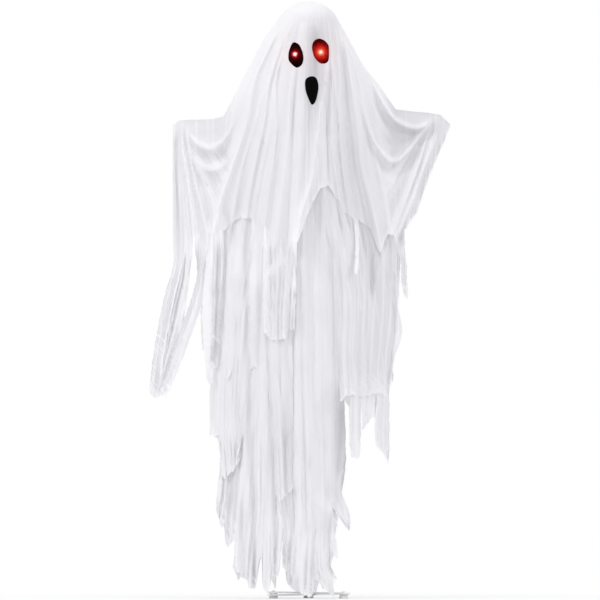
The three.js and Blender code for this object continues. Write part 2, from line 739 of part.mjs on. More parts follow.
function makeElectronics() {
  for (let i = 0; i < cellCount; i++) {
    const x = (i - (cellCount - 1) / 2) * cellPitch;
    const z = bayBottom + seat;
    const end = z + cellLength;
    const shoulder = end - cellCapHeight;
    const profile = [
      [0, z],
      [cellRadius, z],
      [cellRadius, shoulder],
      [cellCapRadius, shoulder],
      [cellCapRadius, end],
      [0, end],
    ];
    const body = turned(profile, 12);
    add(`battery_${i + 1}`, body.translate(x, bayFloor + seat + cellRadius, 0), "cell");
  }
  const doorHalf = bayHalfWidth + doorLap;
  const doorFront = boxBack + seat;
  const doorBack = doorFront + doorThick;
  const door = block(-doorHalf, doorHalf, doorFront, doorBack, bayBottom - doorLap, bayTop + doorLap - seat);
  const gripTop = bayTop - 1;
  const grip = block(
    -doorGripHalfWidth,
    doorGripHalfWidth,
    doorBack - rooted,
    doorBack + doorGripProud,
    gripTop - doorGripHeight,
    gripTop,
  );
  add("battery_door", door.add(grip), "plastic");

  const boardZ = boxBottom + boxWall + seat + boardRise;
  const boardLeft = boardX - boardWidth / 2;
  const boardSpan = [boardLeft, boardLeft + boardWidth, boardBack, boardBack + boardThick];
  add("circuit_board", block(...boardSpan, boardZ, boardZ + boardHeight), "board");
  const lensBack = boardBack - seat;
  const lens = turned([
    [0, 0],
    [lensRadius, 0],
    [lensRadius, lensReach - 4.3],
    [lensRadius * 0.8, lensReach - 1.8],
    [lensRadius * 0.4, lensReach - 0.4],
    [0, lensReach],
  ]);
  add("sensor_lens", lens.rotateX(Math.PI / 2).translate(boardX, lensBack, lensHeight), "lamp");

  const cone = turned([
    [0, 0],
    [speakerRadius, 0],
    [speakerRadius, 2.5],
    [speakerRadius * 0.85, 3.5],
    [speakerRadius * 0.55, speakerDepth - 6],
    [speakerRadius * 0.55, speakerDepth],
    [0, speakerDepth],
  ]);
  const speakerFront = -boxFront + boxWall + seat;
  cone.rotateX(-Math.PI / 2).translate(speakerX, speakerFront, boxBottom + speakerAboveBottom);
  add("speaker", cone, "steel");

  const wallOutside = -boxHalfWidth;
  const wallInside = wallOutside + boxWall;
  const nubHalf = switchNub / 2;
  const flangeHalf = switchTravel + switchNub;
  const nubSide = switchWidth / 2;
  const nub = block(
    wallOutside - switchProud,
    wallInside + 1,
    sideControlY - nubSide,
    sideControlY + nubSide,
    sideControlZ - nubHalf,
    sideControlZ + nubHalf,
  );
  const flange = block(
    wallInside + seat,
    wallInside + seat + flangeThick,
    sideControlY - switchWidth,
    sideControlY + switchWidth,
    sideControlZ - flangeHalf,
    sideControlZ + flangeHalf,
  );
  add("mode_switch", nub.add(flange), "headPlastic");
  const lipEnd = boxHalfWidth - boxWall - seat;
  const pressEnd = boxHalfWidth + tryButtonProud;
  const press = alongX(tryButtonRadius, sideControlY, sideControlZ, lipEnd + seat - 1, pressEnd);
  const lip = alongX(tryButtonRadius + 2, sideControlY, sideControlZ, lipEnd - flangeThick, lipEnd);
  add("try_button", press.add(lip), "lamp");
}

// Shoulders and arms
const lowerTabTop = shoulderBarHeight;
const upperTabBottom = lowerTabTop + tabSpacing;
const armHeight = upperTabBottom + tabThick / 2;

// A flat tab with a round end and a hole at the origin, running along +X.
function hingeTab(z0, z1, length) {
  return block(0, length, -tabRadius, tabRadius, z0, z1)
    .add(disc(tabRadius, z0, z1))
    .subtract(disc(hingeHoleRadius, z0 - 1, z1 + 1));
}

function makeShoulderBar() {
  const end = hingeX - tabRadius - 3;
  let bar = alongX(shoulderBarRadius, shoulderBarBack, shoulderBarHeight, -end, end);
  for (const side of [-1, 1]) {
    const tab = hingeTab(lowerTabTop - tabThick, lowerTabTop, tabLength);
    const turnedTab = side > 0 ? tab.rotate([0, 0, 180]) : tab;
    bar = bar.add(turnedTab.translate([side * hingeX, shoulderBarBack, 0]));
  }
  add("shoulder_bar", bar, "steel");
}

function handTop(rise) {
  return armHeight + handCentre * Math.sin(THREE.MathUtils.degToRad(rise)) + handHalfThick;
}

function makeArm(side, rise) {
  const name = side < 0 ? "left" : "right";
  const turn = side < 0 ? Math.PI : 0;
  const tilt = -THREE.MathUtils.degToRad(rise);
  const place = (geometry) => geometry.rotateZ(turn).translate(side * hingeX, shoulderBarBack, 0);

  const tube = solid(
    geometryOf(alongX(armRadius, 0, 0, armTubeStart, armLength)).rotateY(tilt).translate(0, 0, armHeight),
  );
  const arm = hingeTab(upperTabBottom, upperTabBottom + tabThick, armTubeStart + 14).add(tube);
  add(`arm_tube_${name}`, place(geometryOf(arm)), "steel");

  const ball = new THREE.SphereGeometry(1, 14, 8).scale(handHalfLength, handHalfWidth, handHalfThick);
  ball.rotateY(tilt).translate(handCentre * Math.cos(tilt), 0, armHeight - handCentre * Math.sin(tilt));
  const bore = geometryOf(alongX(armRadius + seat, 0, 0, armTubeStart, armLength + seat)).rotateY(tilt);
  bore.translate(0, 0, armHeight);
  add(`hand_${name}`, place(geometryOf(solid(ball).subtract(solid(bore)))), "headPlastic");

  const headBottom = upperTabBottom + tabThick + seat;
  const nutTop = lowerTabTop - tabThick - seat;
  const nutBottom = nutTop - wingNutHeight;
  const bolt = solid(
    turned([
      [0, nutBottom - 3],
      [hingeBoltRadius, nutBottom - 3],
      [hingeBoltRadius, headBottom],
      [hingeBoltHead, headBottom],
      [hingeBoltHead, headBottom + 1.2],
      [hingeBoltHead * 0.6, headBottom + 3],
      [0, headBottom + 3.4],
    ]),
  );
  add(`hinge_bolt_${name}`, place(geometryOf(bolt)), "steel");
  const wings = block(-wingSpan / 2, wingSpan / 2, -1.5, 1.5, nutBottom - 2, nutTop - 1.5);
  const thread = disc(hingeHoleRadius, nutBottom - 5, nutTop + 1);
  const nut = disc(hingeBoltHead, nutBottom, nutTop).add(wings).subtract(thread);
  add(`wing_nut_${name}`, place(geometryOf(nut)), "steel");
}

// Head
const headTop = headCentreHeight + headRadius;
const shellAside = (eyeX / headRadius) ** 2 + (eyeDrop / headLowerReach) ** 2;
const shellAtEye = headRadius * headDepthShare * Math.sqrt(1 - shellAside);
const ledFront = shellAtEye + ledProud;
const ledBezelFront = ledFront - ledTipLength;
const ledBack = ledFront - ledLength;

function headProfile(inset) {
  const points = [];
  const upper = 7;
  const r = headRadius - inset;
  for (let i = 0; i <= upper; i++) {
    const a = (i / upper) * (Math.PI / 2);
    points.push([r * Math.sin(a), headCentreHeight + r * Math.cos(a)]);
  }
  const lowerReach = headLowerReach - inset;
  const floor = headFloorHeight + inset;
  const end = Math.acos((headCentreHeight - floor) / lowerReach);
  const lower = 5;
  for (let i = 1; i <= lower; i++) {
    const a = Math.PI / 2 - (i / lower) * (Math.PI / 2 - end);
    points.push([r * Math.sin(a), headCentreHeight - lowerReach * Math.cos(a)]);
  }
  return points;
}

function makeHead() {
  const outer = headProfile(0);
  const inner = headProfile(headWall);
  const profile = [
    ...inner,
    [headNeckHole, headFloorHeight + headWall],
    [headNeckHole, headFloorHeight],
    ...outer.reverse(),
  ];
  const shell = solid(turned(profile, 20).scale(1, headDepthShare, 1));
  const far = 2 * headRadius;
  let front = shell.intersect(block(-far, far, -far, -shellSplit / 2, headFloorHeight - 1, headTop + 1));
  const back = shell.intersect(block(-far, far, shellSplit / 2, far, headFloorHeight - 1, headTop + 1));
  for (const side of [-1, 1]) {
    front = front.subtract(alongY(ledBezelRadius + seat, side * eyeX, eyeHeight, -far, -ledBack + 5));
  }
  add("head_shell_front", front, "headPlastic");
  add("head_shell_back", back, "headPlastic");

  for (const [name, side] of [["left", -1], ["right", 1]]) {
    const lamp = turned([
      [0, ledBack],
      [ledBezelRadius, ledBack],
      [ledBezelRadius, ledBezelFront],
      [ledRadius, ledBezelFront],
      [ledRadius, ledFront - 4],
      [ledRadius * 0.7, ledFront - 1.2],
      [0, ledFront],
    ]);
    add(`eye_led_${name}`, lamp.rotateX(Math.PI / 2).translate(side * eyeX, 0, eyeHeight), "lamp");
  }

  const hole = neckRadius + seat;
  const flangeTop = headFloorHeight - seat;
  const flangeBottom = flangeTop - collarFlangeThick;
  const hubTop = headFloorHeight + collarHubTop;
  const collar = [
    [hole, flangeBottom - collarHubBottom],
    [collarHubRadius, flangeBottom - collarHubBottom],
    [collarHubRadius, flangeBottom],
    [collarFlangeRadius, flangeBottom],
    [collarFlangeRadius, flangeTop],
    [headNeckHole - seat, flangeTop],
    [headNeckHole - seat, headFloorHeight + headWall],
    [collarHubRadius, headFloorHeight + headWall],
    [collarHubRadius, hubTop],
    [hole, hubTop],
    [hole, flangeBottom - collarHubBottom],
  ];
  add("neck_collar", turned(collar), "headPlastic");
  add("eye_wire", eyeWire(), "rubber");
}

function tubeAlong(points, radius, steps) {
  const path = new THREE.CatmullRomCurve3(points.map((p) => new THREE.Vector3(...p)));
  const section = new THREE.Shape();
  section.absarc(0, 0, radius, 0, 2 * Math.PI, false);
  const settings = { steps, extrudePath: path, curveSegments: 4, bevelEnabled: false };
  return solid(new THREE.ExtrudeGeometry(section, settings));
}

function eyeWire() {
  const forkHeight = neckTop + 22;
  let wire = disc(wireRadius * 1.3, wireBottom, forkHeight, 8);
  for (const side of [-1, 1]) {
    const route = [
      [0, 0.6, forkHeight - 3],
      [side * eyeX * 0.6, -ledBack * 0.35, forkHeight + 6],
      [side * eyeX, -ledBack * 0.75, eyeHeight + 2],
      [side * eyeX, -ledBack + 0.6, eyeHeight],
    ];
    wire = wire.add(tubeAlong(route, wireRadius, 7));
  }
  return wire;
}

// The sheet is one cloth folded over a ridge line, which runs from the left hand over the head to the
// right hand. Its front and back hang down from the ridge to the hems.
const crown = headTop + crownSeat + cloth;
const crownRadius = crown - headCentreHeight;
const aboveAll = crown * 1.1;
const leftRidge = handTop(leftArmRise) + handSeat + cloth - leftHandDip;
const rightRidge = handTop(rightArmRise) + handSeat + cloth;
const handEnd = hingeX + handCentre + handHalfLength;
const crownEdge = 0.77; // share of the crown's radius where the sheet leaves the head
const crownEdgeDrop = crownRadius * (1 - Math.sqrt(1 - crownEdge * crownEdge));

// A height on the slope from an arm's ridge up to the head's widest height.
function slope(armRidge, share) {
  return armRidge + (headCentreHeight - armRidge) * share;
}

const ridge = [
  [-handEnd - leftCuff, leftRidge - 16],
  [-handEnd + 12, leftRidge - 3],
  [-handEnd + 44, leftRidge],
  [-hingeX - 140, leftRidge],
  [-hingeX - 98, leftRidge + 2],
  [-hingeX - 66, leftRidge + 10],
  [-hingeX - 34, slope(leftRidge, 0.282)],
  [-hingeX + 5, slope(leftRidge, 0.584)],
  [-crownRadius - 35, slope(leftRidge, 0.961)],
  [-crownRadius * crownEdge, crown - crownEdgeDrop],
  [crownRadius * crownEdge, crown - crownEdgeDrop],
  [crownRadius + 18, slope(rightRidge, 0.983)],
  [hingeX - 28, slope(rightRidge, 0.628)],
  [hingeX + 23, slope(rightRidge, 0.355)],
  [hingeX + 55, slope(rightRidge, 0.158)],
  [hingeX + 74, rightRidge + 10],
  [hingeX + 132, rightRidge + 3],
  [handEnd - 44, rightRidge],
  [handEnd - 4, rightRidge - 6],
  [handEnd + rightCuff, rightRidge - 34],
];

// The torn hems: points [x, how far below the shoulder bar]
const frontHem = [
  [-410, 327], [-385, 350], [-352, 328], [-330, 352], [-300, 332], [-262, 332], [-222, 294],
  [-180, 289], [-150, 532], [-132, 680], [-100, 690], [-52, 642], [-34, 372], [10, 242], [34, 200],
  [62, 197], [97, 249], [149, 302], [190, 320], [219, 392], [245, 338], [284, 332], [322, 275],
  [354, 191], [382, 114], [412, 52], [424, 27],
];
const backHem = [
  [-410, 312], [-380, 352], [-330, 322], [-290, 372], [-240, 337], [-180, 472], [-120, 532], [-60, 572],
  [0, 527], [70, 582], [130, 502], [190, 432], [240, 347], [284, 322], [322, 257], [354, 182],
  [382, 102], [412, 42], [424, 20],
];

// Torn strips: points [x, distance in front of where the strip starts, drop below the shoulder bar, width]
const capeStrip = [
  [150, 0, 286, 24],
  [151, 30, 372, 14],
  [149, 44, 472, 12],
];
const leftStrips = [
  [[-388, 0, 340, 36], [-402, 6, 432, 42], [-440, 10, 652, 44], [-466, 12, 840, 44]],
  [[-346, 0, 324, 36], [-380, 8, 472, 30], [-424, 12, 672, 36], [-450, 14, 832, 40]],
  [[-318, 0, 336, 28], [-324, 8, 532, 34], [-328, 10, 792, 28]],
];
const rightStrips = [
  [[278, 0, 328, 34], [287, 4, 432, 28], [300, 6, 548, 14]],
];

function along(line, x) {
  if (x <= line[0][0]) return line[0][1];
  for (let i = 1; i < line.length; i++) {
    const [x0, z0] = line[i - 1];
    const [x1, z1] = line[i];
    if (x <= x1) return z0 + ((z1 - z0) * (x - x0)) / (x1 - x0);
  }
  return line[line.length - 1][1];
}

function ridgeHeight(x) {
  const reach = crownRadius * crownEdge;
  if (Math.abs(x) < reach) return headCentreHeight + Math.sqrt(crownRadius * crownRadius - x * x);
  return along(ridge, x);
}

function hemHeight(hem, x) {
  return shoulderBarHeight - along(hem, x);
}

function smooth(share) {
  const s = Math.min(1, Math.max(0, share));
  return s * s * (3 - 2 * s);
}

// How far the sheet stands in front of or behind its middle plane, at a place in the front view.
function sheetDepth(x, z, flare) {
  const out = smooth(1 - Math.abs(x) / bodyDepthReach);
  const most = wingHalfDepth + (bodyHalfDepth + flare - wingHalfDepth) * out;
  const round = ridgeRadius + shoulderRadius * out;
  const drop = Math.max(0, ridgeHeight(x) - z);
  const hung = most * Math.sqrt(1 - Math.exp((-2 * round * drop) / (most * most)));
  const up = Math.max(0, z - headCentreHeight) / crownRadius;
  const side = x / crownRadius;
  const onHead = crownRadius * headDepthShare * Math.sqrt(Math.max(0, 1 - side * side - up * up));
  return Math.pow(hung ** 4 + onHead ** 4, 0.25);
}

function middlePlane(x) {
  return shoulderBarBack * smooth((Math.abs(x) - leanStart) / (hingeX - leanStart));
}

// Folds run out from the head over the body, and straight down elsewhere.
function fold(x, z, depth) {
  const below = Math.max(1, foldFocusHeight - z);
  const angle = Math.atan2(x, below);
  const grow = smooth((below - foldStart) / foldGrowth);
  const inBody = smooth((hingeX + 30 - Math.abs(x)) / 60);
  return depth * grow * inBody * Math.cos(angle * foldRate + 0.6 * Math.sin(angle * 9));
}

function sheetPoint(x, share, front) {
  const top = ridgeHeight(x);
  const bottom = hemHeight(front ? frontHem : backHem, x);
  const z = top - (top - bottom) * share;
  const fall = Math.max(0, headCentreHeight - z);
  const depth = sheetDepth(x, z, fall * flareRate) + fold(x, z, foldDepth);
  return new THREE.Vector3(x, middlePlane(x) + (front ? -depth : depth), z);
}

// A closed solid of a grid of surface points: the surface pushed out on both sides of the cloth.
function clothSolid(grid, outer, inner) {
  const rows = grid.length;
  const columns = grid[0].length;
  const normals = grid.map((row, j) =>
    row.map((_, i) => {
      const [right, left] = [row[Math.min(i + 1, columns - 1)], row[Math.max(i - 1, 0)]];
      const [lower, upper] = [grid[Math.min(j + 1, rows - 1)][i], grid[Math.max(j - 1, 0)][i]];
      const across = new THREE.Vector3().subVectors(right, left);
      const down = new THREE.Vector3().subVectors(lower, upper);
      return across.cross(down).normalize();
    }),
  );
  const vertices = [];
  const layer = (offset) =>
    grid.forEach((row, j) =>
      row.forEach((p, i) => vertices.push(...p.clone().addScaledVector(normals[j][i], offset).toArray())),
    );
  layer(outer);
  layer(inner);
  const at = (side, j, i) => side * rows * columns + j * columns + i;
  const last = columns - 1;
  const faces = [];
  const quad = (a, b, c, d) => faces.push(a, b, c, a, c, d);
  for (let j = 0; j < rows - 1; j++) {
    for (let i = 0; i < columns - 1; i++) {
      quad(at(0, j, i), at(0, j, i + 1), at(0, j + 1, i + 1), at(0, j + 1, i));
      quad(at(1, j, i), at(1, j + 1, i), at(1, j + 1, i + 1), at(1, j, i + 1));
    }
  }
  for (let j = 0; j < rows - 1; j++) {
    quad(at(0, j, 0), at(0, j + 1, 0), at(1, j + 1, 0), at(1, j, 0));
    quad(at(0, j + 1, last), at(0, j, last), at(1, j, last), at(1, j + 1, last));
  }
  for (let i = 0; i < columns - 1; i++) {
    quad(at(0, 0, i + 1), at(0, 0, i), at(1, 0, i), at(1, 0, i + 1));
    quad(at(0, rows - 1, i), at(0, rows - 1, i + 1), at(1, rows - 1, i + 1), at(1, rows - 1, i));
  }
  const geometry = new THREE.BufferGeometry();
  geometry.setAttribute("position", new THREE.BufferAttribute(new Float32Array(vertices), 3));
  geometry.setIndex(faces);
  const made = solid(geometry);
  return made.volume() < 0 ? solid(geometryOf(made).setIndex(faces.reverse())) : made;
}

function sheetGrid() {
  const left = ridge[0][0];
  const right = ridge[ridge.length - 1][0];
  const grid = [];
  for (let j = -sheetRows; j <= sheetRows; j++) {
    const share = (Math.abs(j) / sheetRows) ** rowCrowding;
    const row = [];
    for (let i = 0; i <= sheetColumns; i++) {
      row.push(sheetPoint(left + ((right - left) * i) / sheetColumns, share, j < 0));
    }
    grid.push(row);
  }
  return grid.reverse();
}

// The sheet's middle surface in front, at a place in the front view.
function frontSurface(x, z) {
  const fall = Math.max(0, headCentreHeight - z);
  const depth = sheetDepth(x, z, fall * flareRate) + fold(x, z, foldDepth);
  return middlePlane(x) - depth + cloth / 2;
}

// A torn strip that hangs from the sheet's front hem.
function strip(points) {
  const [topX, , topDrop] = points[0];
  const start = frontSurface(topX, shoulderBarHeight - topDrop);
  const rows = points.map(([x, forward, drop, width]) => {
    const z = shoulderBarHeight - drop;
    return [
      new THREE.Vector3(x + width / 2, start - forward, z),
      new THREE.Vector3(x, start - forward - stripCurl, z),
      new THREE.Vector3(x - width / 2, start - forward, z),
    ];
  });
  return clothSolid(rows, cloth / 2, -cloth / 2);
}

function makeSheet() {
  const grid = sheetGrid();
  const sheet = clothSolid(grid, 0, -cloth);
  const far = 2 * handEnd;
  const below = hoodBottom - hoodToCape;
  const overBar = block(-far, far, -far, far, hoodBottom, aboveAll);
  const hood = sheet.intersect(overBar).intersect(disc(hoodReach, 0, aboveAll, 48));
  add("hood", hood, "sheet");

  const lower = sheet.intersect(block(-far, far, -far, far, 0, below));
  const hinge = (side, radius) =>
    disc(radius, 0, aboveAll, 48).translate([side * hingeX, shoulderBarBack, 0]);
  let core = block(-hingeX, hingeX, -far, far, 0, below);
  for (const side of [-1, 1]) core = core.add(hinge(side, sleeveRadius));
  add("cape", lower.intersect(core).add(strip(capeStrip)), "sheet");

  const beyond = (side) => {
    const [x0, x1] = side < 0 ? [-far, -hingeX] : [hingeX, far];
    const outside = block(x0, x1, -far, far, 0, below);
    return lower.intersect(outside).subtract(hinge(side, sleeveRadius + sleeveSlit));
  };
  const withStrips = (cut, strips) => strips.reduce((made, points) => made.add(strip(points)), cut);
  add("sleeve_left", withStrips(beyond(-1), leftStrips), "sheet");
  add("sleeve_right", withStrips(beyond(1), rightStrips), "sheet");
  makeFace(grid);
}

// Felt eyes and mouth, cut from a skin that lies on the hood's own facets.
function makeFace(grid) {
  const skin = clothSolid(grid, seat + patchThick, seat);
  const depth = 3 * headRadius;
  const cutter = (shape, x, z, tilt) => {
    const prism = new THREE.ExtrudeGeometry(shape, { depth, bevelEnabled: false, curveSegments: 12 });
    return solid(prism.rotateX(Math.PI / 2).rotateY(THREE.MathUtils.degToRad(tilt)).translate(x, 0, z));
  };
  for (const [i, side] of ["left", "right"].entries()) {
    const oval = new THREE.Shape().absellipse(0, 0, eyePatchHalfWidth[i], eyePatchHalfHeight, 0, 2 * Math.PI);
    const patch = cutter(oval, eyePatchX[i], eyeHeight + eyePatchRise[i], eyePatchTilt[i]);
    add(`eye_patch_${side}`, skin.intersect(patch), "felt");
  }
  add("mouth_patch", skin.intersect(cutter(mouthShape(), mouthX, eyeHeight - mouthDrop, mouthTilt)), "felt");
}

// A drop with its point at the bottom.
function mouthShape() {
  const w = mouthHalfWidth;
  const h = mouthHalfHeight;
  const mouth = new THREE.Shape();
  mouth.moveTo(0, -h);
  mouth.bezierCurveTo(0.6 * w, -0.93 * h, 1.05 * w, 0, w, 0.47 * h);
  mouth.bezierCurveTo(0.95 * w, 1.21 * h, -0.95 * w, 1.21 * h, -1.05 * w, 0.47 * h);
  mouth.bezierCurveTo(-1.1 * w, 0, -0.5 * w, -0.93 * h, 0, -h);
  return mouth;
}

// The gown hangs from two straps over the shoulder bar, inside the sheet, and reaches the floor.
// Its sides: points [height, x]
const gownLeft = [
  [0, -232], [76, -262], [480, -290], [770, -288], [gownTop - 432, -270], [gownTop - 312, -206],
  [gownTop, -176],
];
const gownRight = [
  [0, 128], [200, 132], [330, 240], [400, 246], [660, 246], [800, 262], [gownTop - 392, 262],
  [gownTop - 307, 206], [gownTop, 176],
];
// Its torn hems: points [share of the way across, height]
const gownFrontHem = [
  [0, 480], [0.03, 470], [0.06, 345], [0.1, 215], [0.13, 250], [0.16, 145], [0.2, 78], [0.24, 26],
  [0.27, 110], [0.31, 14], [0.35, 18], [0.38, 90], [0.42, 46], [0.46, 110], [0.49, 36], [0.53, 10],
  [0.6, 9], [0.62, 62], [0.66, 12], [0.7, 52], [0.73, 190], [0.76, 620], [0.79, 580], [0.82, 420],
  [0.86, 425], [0.9, 560], [0.94, 395], [0.98, 410], [1, 640],
];
const gownBackHem = [
  [0, 500], [0.05, 400], [0.1, 260], [0.16, 180], [0.22, 60], [0.28, 120], [0.34, 24], [0.4, 95],
  [0.46, 20], [0.52, 80], [0.58, 16], [0.64, 100], [0.7, 60], [0.74, 230], [0.8, 640], [0.88, 520],
  [0.94, 600], [1, 660],
];

// The gown's depth stays inside the sheet as far down as the sheet reaches.
function gownDepth(x, z, across, front) {
  const roundness = Math.sqrt(Math.max(0, 1 - Math.abs(across) ** 2.6));
  const spread = gownSpread * smooth((gownTop - z) / gownSpreadHeight);
  const atHem = hemSpread * smooth((hemSpreadHeight - z) / hemSpreadHeight);
  const wave = Math.cos((x / gownFoldWidth) * 2 * Math.PI + 0.5 * Math.sin(x / 40));
  const own = roundness * (gownDepthAtTop + spread + atHem + gownFoldDepth * wave);
  const line = front ? frontHem : backHem;
  const hem = Math.min(...[-35, 0, 35].map((aside) => hemHeight(line, x + aside)));
  const clearOfHem = smooth((hem - 50 - z) / 160) * gownClearReach;
  const fall = headCentreHeight - z;
  const room = sheetDepth(x, z, fall * flareRate) - foldDepth - gownInset + clearOfHem;
  return Math.min(own, room);
}

function gownPoint(u, share, front) {
  const bottom = along(front ? gownFrontHem : gownBackHem, u);
  const z = gownTop - (gownTop - bottom) * share;
  const x0 = along(gownLeft, z);
  const x1 = along(gownRight, z);
  const ease = 0.5 - 0.5 * Math.cos(Math.PI * u);
  const x = x0 + (x1 - x0) * (0.35 * ease + 0.65 * u);
  const across = (2 * (x - x0)) / (x1 - x0) - 1;
  const depth = gownDepth(x, z, across, front) + gownGap / 2;
  return new THREE.Vector3(x, middlePlane(x) * middleShare(z) + (front ? -depth : depth), z);
}

// The middle plane runs out to straight below the sheet.
function middleShare(z) {
  return 1 - 0.7 * smooth((1000 - z) / 400);
}

function gownPanel(front) {
  const grid = [];
  for (let j = 0; j <= gownRows; j++) {
    const row = [];
    for (let i = 0; i <= gownColumns; i++) {
      const u = front ? 1 - i / gownColumns : i / gownColumns;
      row.push(gownPoint(u, j / gownRows, front));
    }
    grid.push(row);
  }
  return clothSolid(grid, 0, -cloth);
}

// A strap from the front panel's top, over the shoulder bar.
function gownStrap(x) {
  const barTop = shoulderBarHeight + shoulderBarRadius;
  const tops = [true, false].map((front) => {
    const u = (x - along(gownLeft, gownTop)) / (along(gownRight, gownTop) - along(gownLeft, gownTop));
    const p = gownPoint(u, 0, front);
    return p.y + (front ? cloth / 2 : -cloth - seat - cloth / 2);
  });
  const over = barTop + cloth / 2 + seat;
  const route = [
    [tops[0], gownTop - strapLap],
    [tops[0] + 4, gownTop + 8],
    [shoulderBarBack - 16, over - 4],
    [shoulderBarBack, over],
    [shoulderBarBack + 16, over - 4],
    [tops[1] - 2, gownTop + 12],
    [tops[1], gownTop - strapLap],
  ];
  const path = new THREE.CatmullRomCurve3(route.map(([y, z]) => new THREE.Vector3(x, y, z)));
  const half = strapWidth / 2;
  const rows = path.getPoints(10).map((p) => [p.clone().setX(x + half), p.clone().setX(x - half)]);
  return clothSolid(rows, cloth / 2, -cloth / 2);
}

function makeGown() {
  let front = gownPanel(true);
  for (const side of [-1, 1]) front = front.add(gownStrap(side * strapX));
  add("gown_front", front, "sheet");
  add("gown_back", gownPanel(false), "sheet");
}

makeBase();
makePole();
makeBox();
makeDrive();
makeElectronics();
makeShoulderBar();
makeArm(-1, leftArmRise);
makeArm(1, rightArmRise);
makeHead();
makeSheet();
makeGown();

export default ghost;
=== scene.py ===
"""Dresses the standing ghost: a gauze sheet over the head and arms, a torn gown below it, lit eyes.

Shapes are worked out in millimetres in the front view (x to the right, z up) with the depth y towards
the back, and become metres when a mesh is made.
"""

import json
import math

import bpy
import numpy as np
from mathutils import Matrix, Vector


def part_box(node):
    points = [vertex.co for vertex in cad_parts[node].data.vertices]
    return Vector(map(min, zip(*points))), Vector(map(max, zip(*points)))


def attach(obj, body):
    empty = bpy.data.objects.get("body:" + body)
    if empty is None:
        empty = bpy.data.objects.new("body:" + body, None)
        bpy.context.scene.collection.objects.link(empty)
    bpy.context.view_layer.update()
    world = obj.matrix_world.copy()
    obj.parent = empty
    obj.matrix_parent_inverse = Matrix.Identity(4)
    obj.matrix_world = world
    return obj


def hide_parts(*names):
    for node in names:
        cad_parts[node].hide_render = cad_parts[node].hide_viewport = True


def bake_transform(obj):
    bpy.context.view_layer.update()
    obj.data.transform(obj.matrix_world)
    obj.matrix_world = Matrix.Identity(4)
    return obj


MM = 0.001

# Head and arms that the sheet hangs over
HEAD_CENTRE = 1700.0
CROWN_RADIUS = 102.0
HEAD_DEPTH_SHARE = 1.083
CROWN_EDGE = 0.77  # share of the crown's radius where the sheet leaves the head
HINGE_X = 190.0
NECK_X = 60.0  # beside the neck, where the cloth starts to lie further back
SHOULDER_BACK = 25.0
RIDGE = [
    (-410, 1429), (-390, 1442), (-358, 1445), (-330, 1445), (-288, 1447), (-256, 1455), (-224, 1517),
    (-185, 1594), (-134, 1690), (-78.5, 1765.1), (78.5, 1765.1), (117, 1696), (162, 1613), (213, 1549),
    (245, 1503), (264, 1476), (322, 1469), (358, 1466), (398, 1460), (428, 1432),
]

# The sheet's body
SEAM_X = 205.0  # between the middle of the sheet and the parts over the arms
SHEET_MARKS = (-410.0, -SEAM_X, SEAM_X, 428.0)  # its ends and seams
WING_DEPTH = 50.0
BODY_DEPTH = 118.0
ARM_BEND = 34.0  # how roundly the sheet bends over the arms
BODY_BEND = 30.0  # how much more roundly it bends beside the head
BODY_REACH = 200.0  # where the body's depth has run out into the arms'
FLARE = 0.045  # how fast the sheet widens below the head
FOCUS = 1800.0  # the folds at the back run out from this height
BROW = 1750.0  # where the folds start on the head
HAND_X = 395.0
HAND_FOCUS = 1500.0  # the folds below a hand run out from this height
ARM_START = (190.0, 280.0)  # where the cloth of the middle passes into that of an arm
TIGHT_REACH = 36.0  # from the ridge down to where the cloth is free to fold
FOLD_START = 70.0  # from a fold's upper end down to its full height
FOLD_OPENING = 400.0  # from a fold's upper end down to its full width
BACK_FOLD = 8.0  # height of the even folds at the back
BACK_TURNS = 34.0  # how many of them make a full turn about their focus
DEEPEST = 14.0  # the most that a hollow goes in
FAN_WAVES = (0.2, 0.7)
FINE_WAVES = (0.05, 0.17)
HAND_WAVES = (0.05, 0.2)
FINE_HEIGHT = 4.0
SWAG_FADES = (90, 34)  # lengths over which a swag fades: towards the head and towards the hand
COLUMN_PITCH = 3.2
SHEET_ROWS = 160
ROW_CROWDING = 1.75
HEM_CURL = 3.0
SETTLE = 0.2  # share of a strip's length in which it takes its own shape
STRIP_TORN = 4.0
STRIP_PLEATS = 7.0
END_HEIGHT = 2.5

# Painted shade: how much greyer the cloth's colour is made, of a whole, over the arms, below the brow, on the
# crown and on the loose strips
LEFT_SHADE = 0.27
RIGHT_SHADE = 0.42
ARM_TOP_SHADE = 0.25
FACE_SHADE = 0.46
CROWN_SHADE = 0.08
STRIP_SHADE = 0.35

# The line where the sheet's torn strips start, and its hem between them
FRONT_HEM = [
    (-410, 1078), (-370, 1081), (-341, 1087), (-300, 1100), (-256, 1109), (-245, 1120), (-220, 1142),
    (-200, 1147), (-172, 1143), (-120, 1120), (-80, 1100), (-34, 1072), (-20, 1108), (0, 1165), (18, 1203),
    (34, 1234), (48, 1240), (62, 1241), (75, 1222), (85, 1203), (95, 1190), (105, 1166), (120, 1158),
    (135, 1142), (148, 1145), (165, 1130), (180, 1124), (190, 1108), (204, 1066), (217, 1040), (225, 1054),
    (234, 1090), (245, 1098), (262, 1092), (275, 1087), (291, 1110), (308, 1136), (326, 1158), (354, 1241),
    (379, 1308), (409, 1372), (424, 1404), (428, 1412),
]
BACK_HEM = [
    (-410, 1100), (-370, 1088), (-330, 1104), (-290, 1076), (-240, 1098), (-180, 1020), (-150, 1004),
    (-120, 1010), (-60, 980), (0, 1005), (70, 966), (130, 990), (190, 1050), (240, 1085), (284, 1110),
    (326, 1165), (354, 1241), (379, 1310), (409, 1375), (428, 1414),
]

# The two long folds that the smaller ones run beside, as points (x, z) from the top down
LEFT_GUIDE = [
    (-79, 1742), (-124, 1652), (-156, 1582), (-194, 1410), (-239, 1276), (-264, 1199), (-284, 1110),
]
RIGHT_GUIDE = [(99, 1735), (131, 1550), (151, 1410), (164, 1295), (189, 1193), (221, 1039)]

